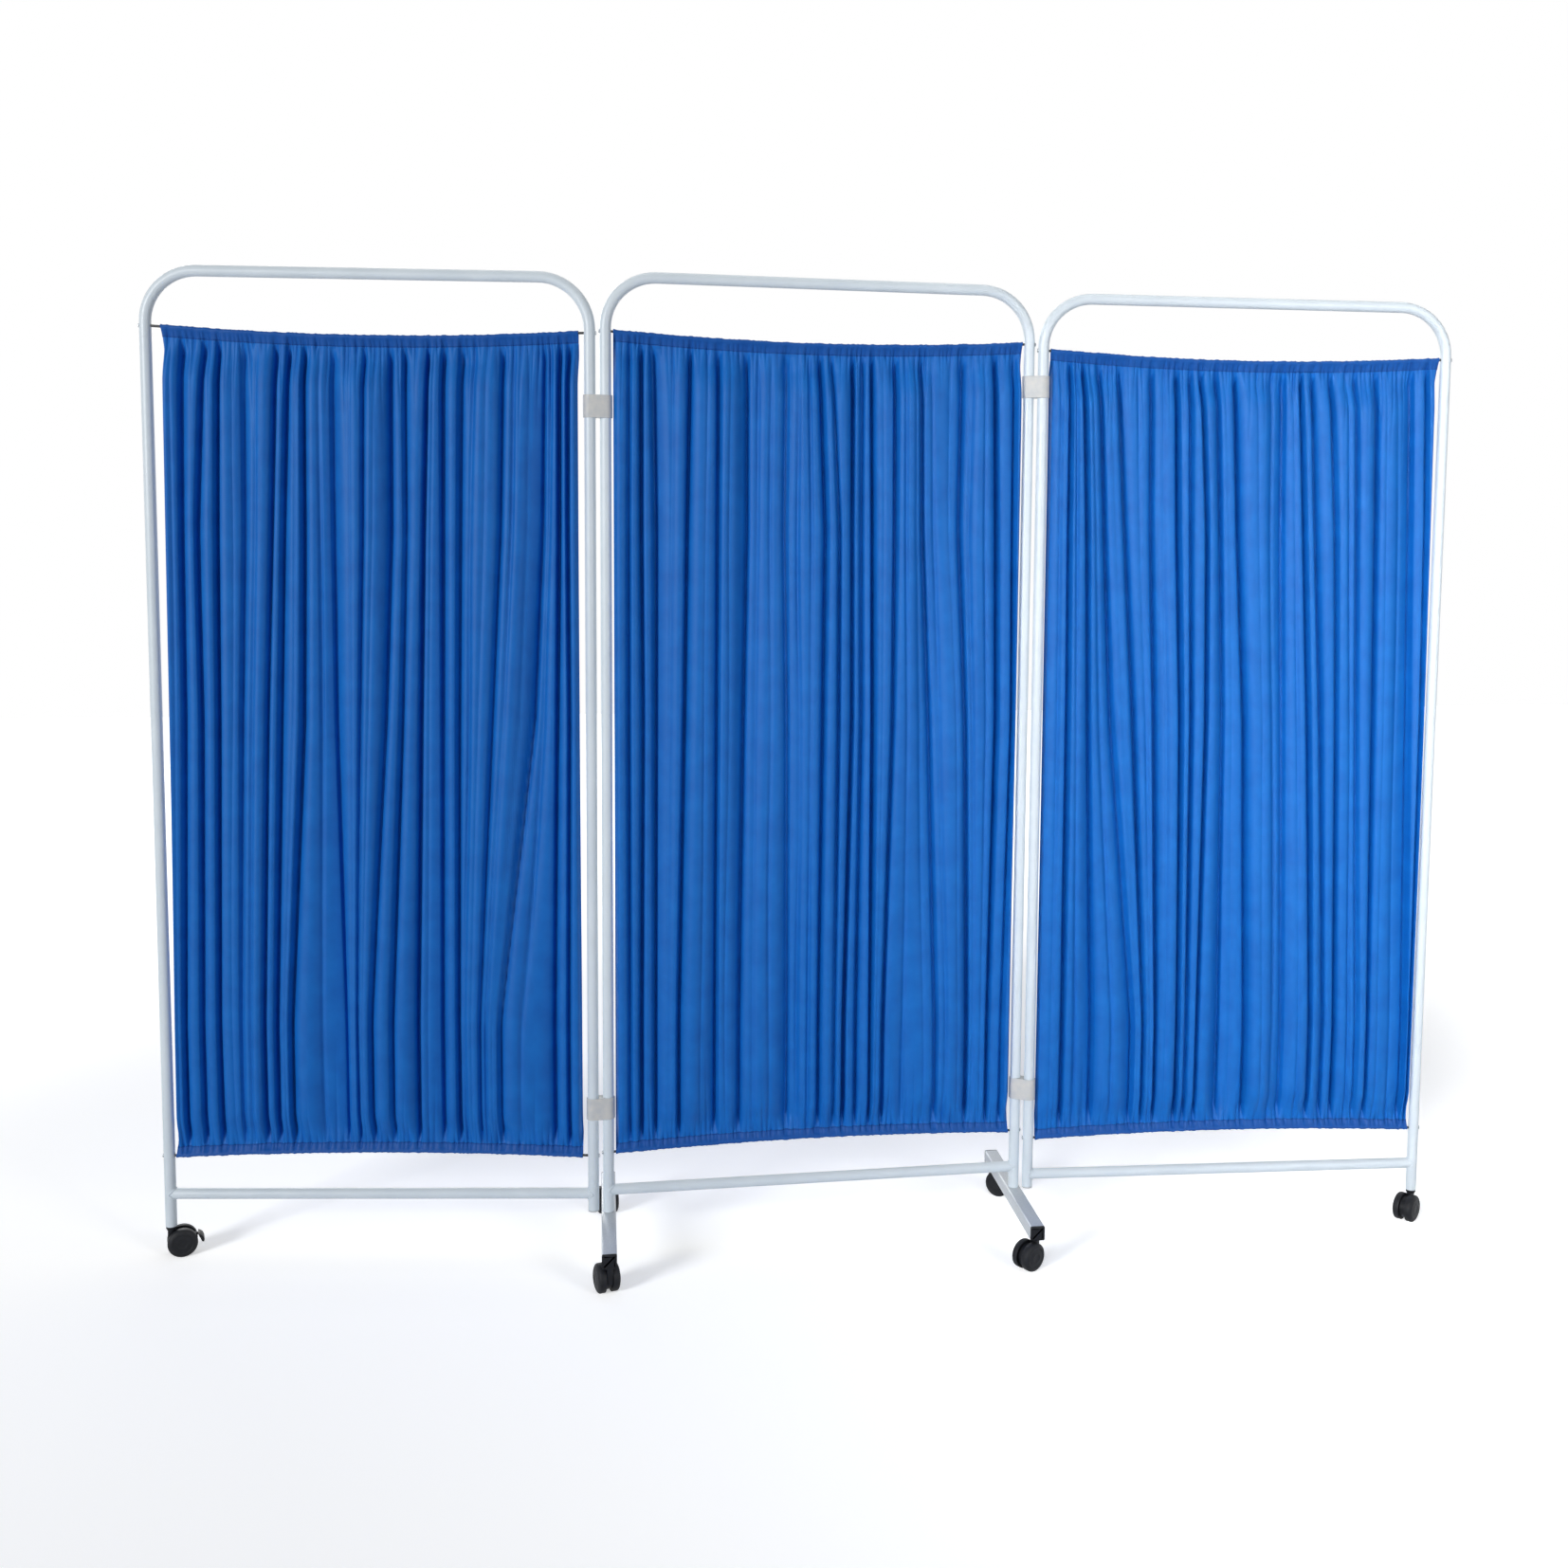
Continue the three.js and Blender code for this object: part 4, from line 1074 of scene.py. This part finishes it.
def sheet_from(rows, name):
    """A mesh with two maps in metres: the flat cloth, and the distance down from the nearer seam."""
    wide, last = len(rows[0]), len(rows) - 1
    corners = [r * wide + c for r in range(last) for c in range(wide - 1)]
    mesh = bpy.data.meshes.new(name)
    mesh.from_pydata([point for row in rows for point in row], [],
                     [(a, a + wide, a + wide + 1, a + 1) for a in corners])
    mesh.update()
    samples = [lengths(column) for column in zip(*[row[::40] for row in rows])]
    down = [sum(level) / len(level) for level in zip(*samples)]
    along = lengths(rows[len(rows) // 2])
    below = [away - down[SEAM_ROW] if r < last / 2 else down[last - SEAM_ROW] - away
             for r, away in enumerate(down)]
    cloth_map, seam_map = mesh.uv_layers.new(name="cloth"), mesh.uv_layers.new(name="seam")
    for loop in mesh.loops:
        r, c = divmod(loop.vertex_index, wide)
        cloth_map.data[loop.index].uv = (along[c], -down[r])
        seam_map.data[loop.index].uv = (along[c], below[r])
    piece = bpy.data.objects.new(name, mesh)
    bpy.context.collection.objects.link(piece)
    select_only(piece)
    bpy.ops.object.shade_smooth()
    return piece, sum(face.area for face in mesh.polygons), down[-1]


# %% Hang the curtains
for seed, panel in zip((11, 21, 31), panels):
    panel["plan"], panel["leans"] = crease_plan(panel, seed)
    panel["short"], panel["waves"] = short_creases(seed, panel["half"]), slow_waves(seed)
    name = panel["name"] + "_gathered_curtain"
    piece, area, length = sheet_from(curtain(panel), name)
    finished(placed(piece, panel["matrix"]), name, panel["body"], "blue_cloth", panel["name"] + "_curtain")
    print(name, "flat", round(area / length, 3), "x", round(length, 3), "m")

# %% [markdown]
# ## Floor
# The photograph has a plain white ground. The floor takes shadows from the lamps, and a part of its
# light to the camera is its own, so that it reads as white and still shows where the casters stand.

# %% Floor
def seen_directly(tree):
    """1 on a ray from the camera, or one that a shiny or clear surface sends on, and 0 on the others."""
    rays = add_node(tree, "LightPath").outputs
    seen = add_node(tree, "Math", {0: rays["Is Camera Ray"], 1: rays["Is Glossy Ray"]},
                    operation="MAXIMUM")
    return add_node(tree, "Math", {0: seen, 1: rays["Is Transmission Ray"]}, operation="MAXIMUM")


floor = primitive(bpy.ops.mesh.primitive_plane_add, size=16, location=(0, 0, 0))
floor.name = "floor"
floor_finish = bpy.data.materials.new("white_studio_floor")
floor_finish.use_nodes = True
tree = floor_finish.node_tree
tree.nodes.clear()
matt = add_node(tree, "BsdfDiffuse", {"Color": colour("F2F3F4"), "Roughness": 1.0})
where = add_node(tree, "TexCoord").outputs["Object"]
away = add_node(tree, "VectorMath", {0: where}, operation="LENGTH")
strength = add_node(tree, "MapRange", {
    "Value": away.outputs["Value"], "From Min": 1.6, "From Max": 3.4, "To Min": 0.45, "To Max": 1.0},
    interpolation_type="SMOOTHSTEP")
glow = add_node(tree, "Emission", {"Color": colour("FFFFFF"), "Strength": strength})
both = add_node(tree, "AddShader", {0: matt, 1: glow})
mixed = add_node(tree, "MixShader", {0: seen_directly(tree), 1: matt, 2: both})
add_node(tree, "OutputMaterial", {"Surface": mixed})
floor.data.materials.append(floor_finish)
print("floor", [round(size) for size in floor.dimensions[:2]], "m")

# %% [markdown]
# ## Light
# A wide soft lamp far out on the left gives the folds their shape. Two gridded ones brighten the right
# panel, which is the lightest in the photograph, one above lights the bars, one behind keeps the back
# of the screen readable, and a pale world lights the rest. The world is pure white only on rays that
# come straight from the camera, or that a shiny or clear surface sends on.

# %% Lamps and world
def soft_lamp(name, place, aim, size, power, spread=180):
    lamp = bpy.data.objects.new(name, bpy.data.lights.new(name, "AREA"))
    lamp.data.shape = "RECTANGLE"
    lamp.data.size, lamp.data.size_y = size
    lamp.data.energy, lamp.data.spread = power, math.radians(spread)
    lamp.location = place
    lamp.rotation_euler = (Vector(aim) - Vector(place)).to_track_quat("-Z", "Y").to_euler()
    bpy.context.collection.objects.link(lamp)
    print(name, power, "W")


soft_lamp("key_softbox", (-6.2, -5.5, 2.6), (0, 0, 0.9), (2.2, 2.2), 370)
soft_lamp("gridded_left_softbox", (-1.4, -4.2, 2.0), (1.5, 0, 0.9), (1.2, 1.6), 7.5, 36)
soft_lamp("gridded_right_softbox", (2.1, -3.2, 1.6), (0.8, 0, 0.9), (1.2, 1.6), 8, 70)
soft_lamp("top_softbox", (0.2, 0.9, 3.8), (0, 0, 0), (3.0, 2.4), 26)
soft_lamp("back_softbox", (-2.2, 6.0, 3.0), (0, 0, 0.9), (2.6, 2.2), 120)

world = bpy.data.worlds.new("studio")
bpy.context.scene.world = world
world.use_nodes = True
tree = world.node_tree
tree.nodes.clear()
dim = add_node(tree, "Background", {"Color": colour("F4F7FB"), "Strength": 0.1})
white = add_node(tree, "Background", {"Color": colour("FFFFFF"), "Strength": 1.0})
mixed = add_node(tree, "MixShader", {0: seen_directly(tree), 1: dim, 2: white})
add_node(tree, "OutputWorld", {"Surface": mixed})
bpy.context.scene.view_settings.view_transform = "Standard"
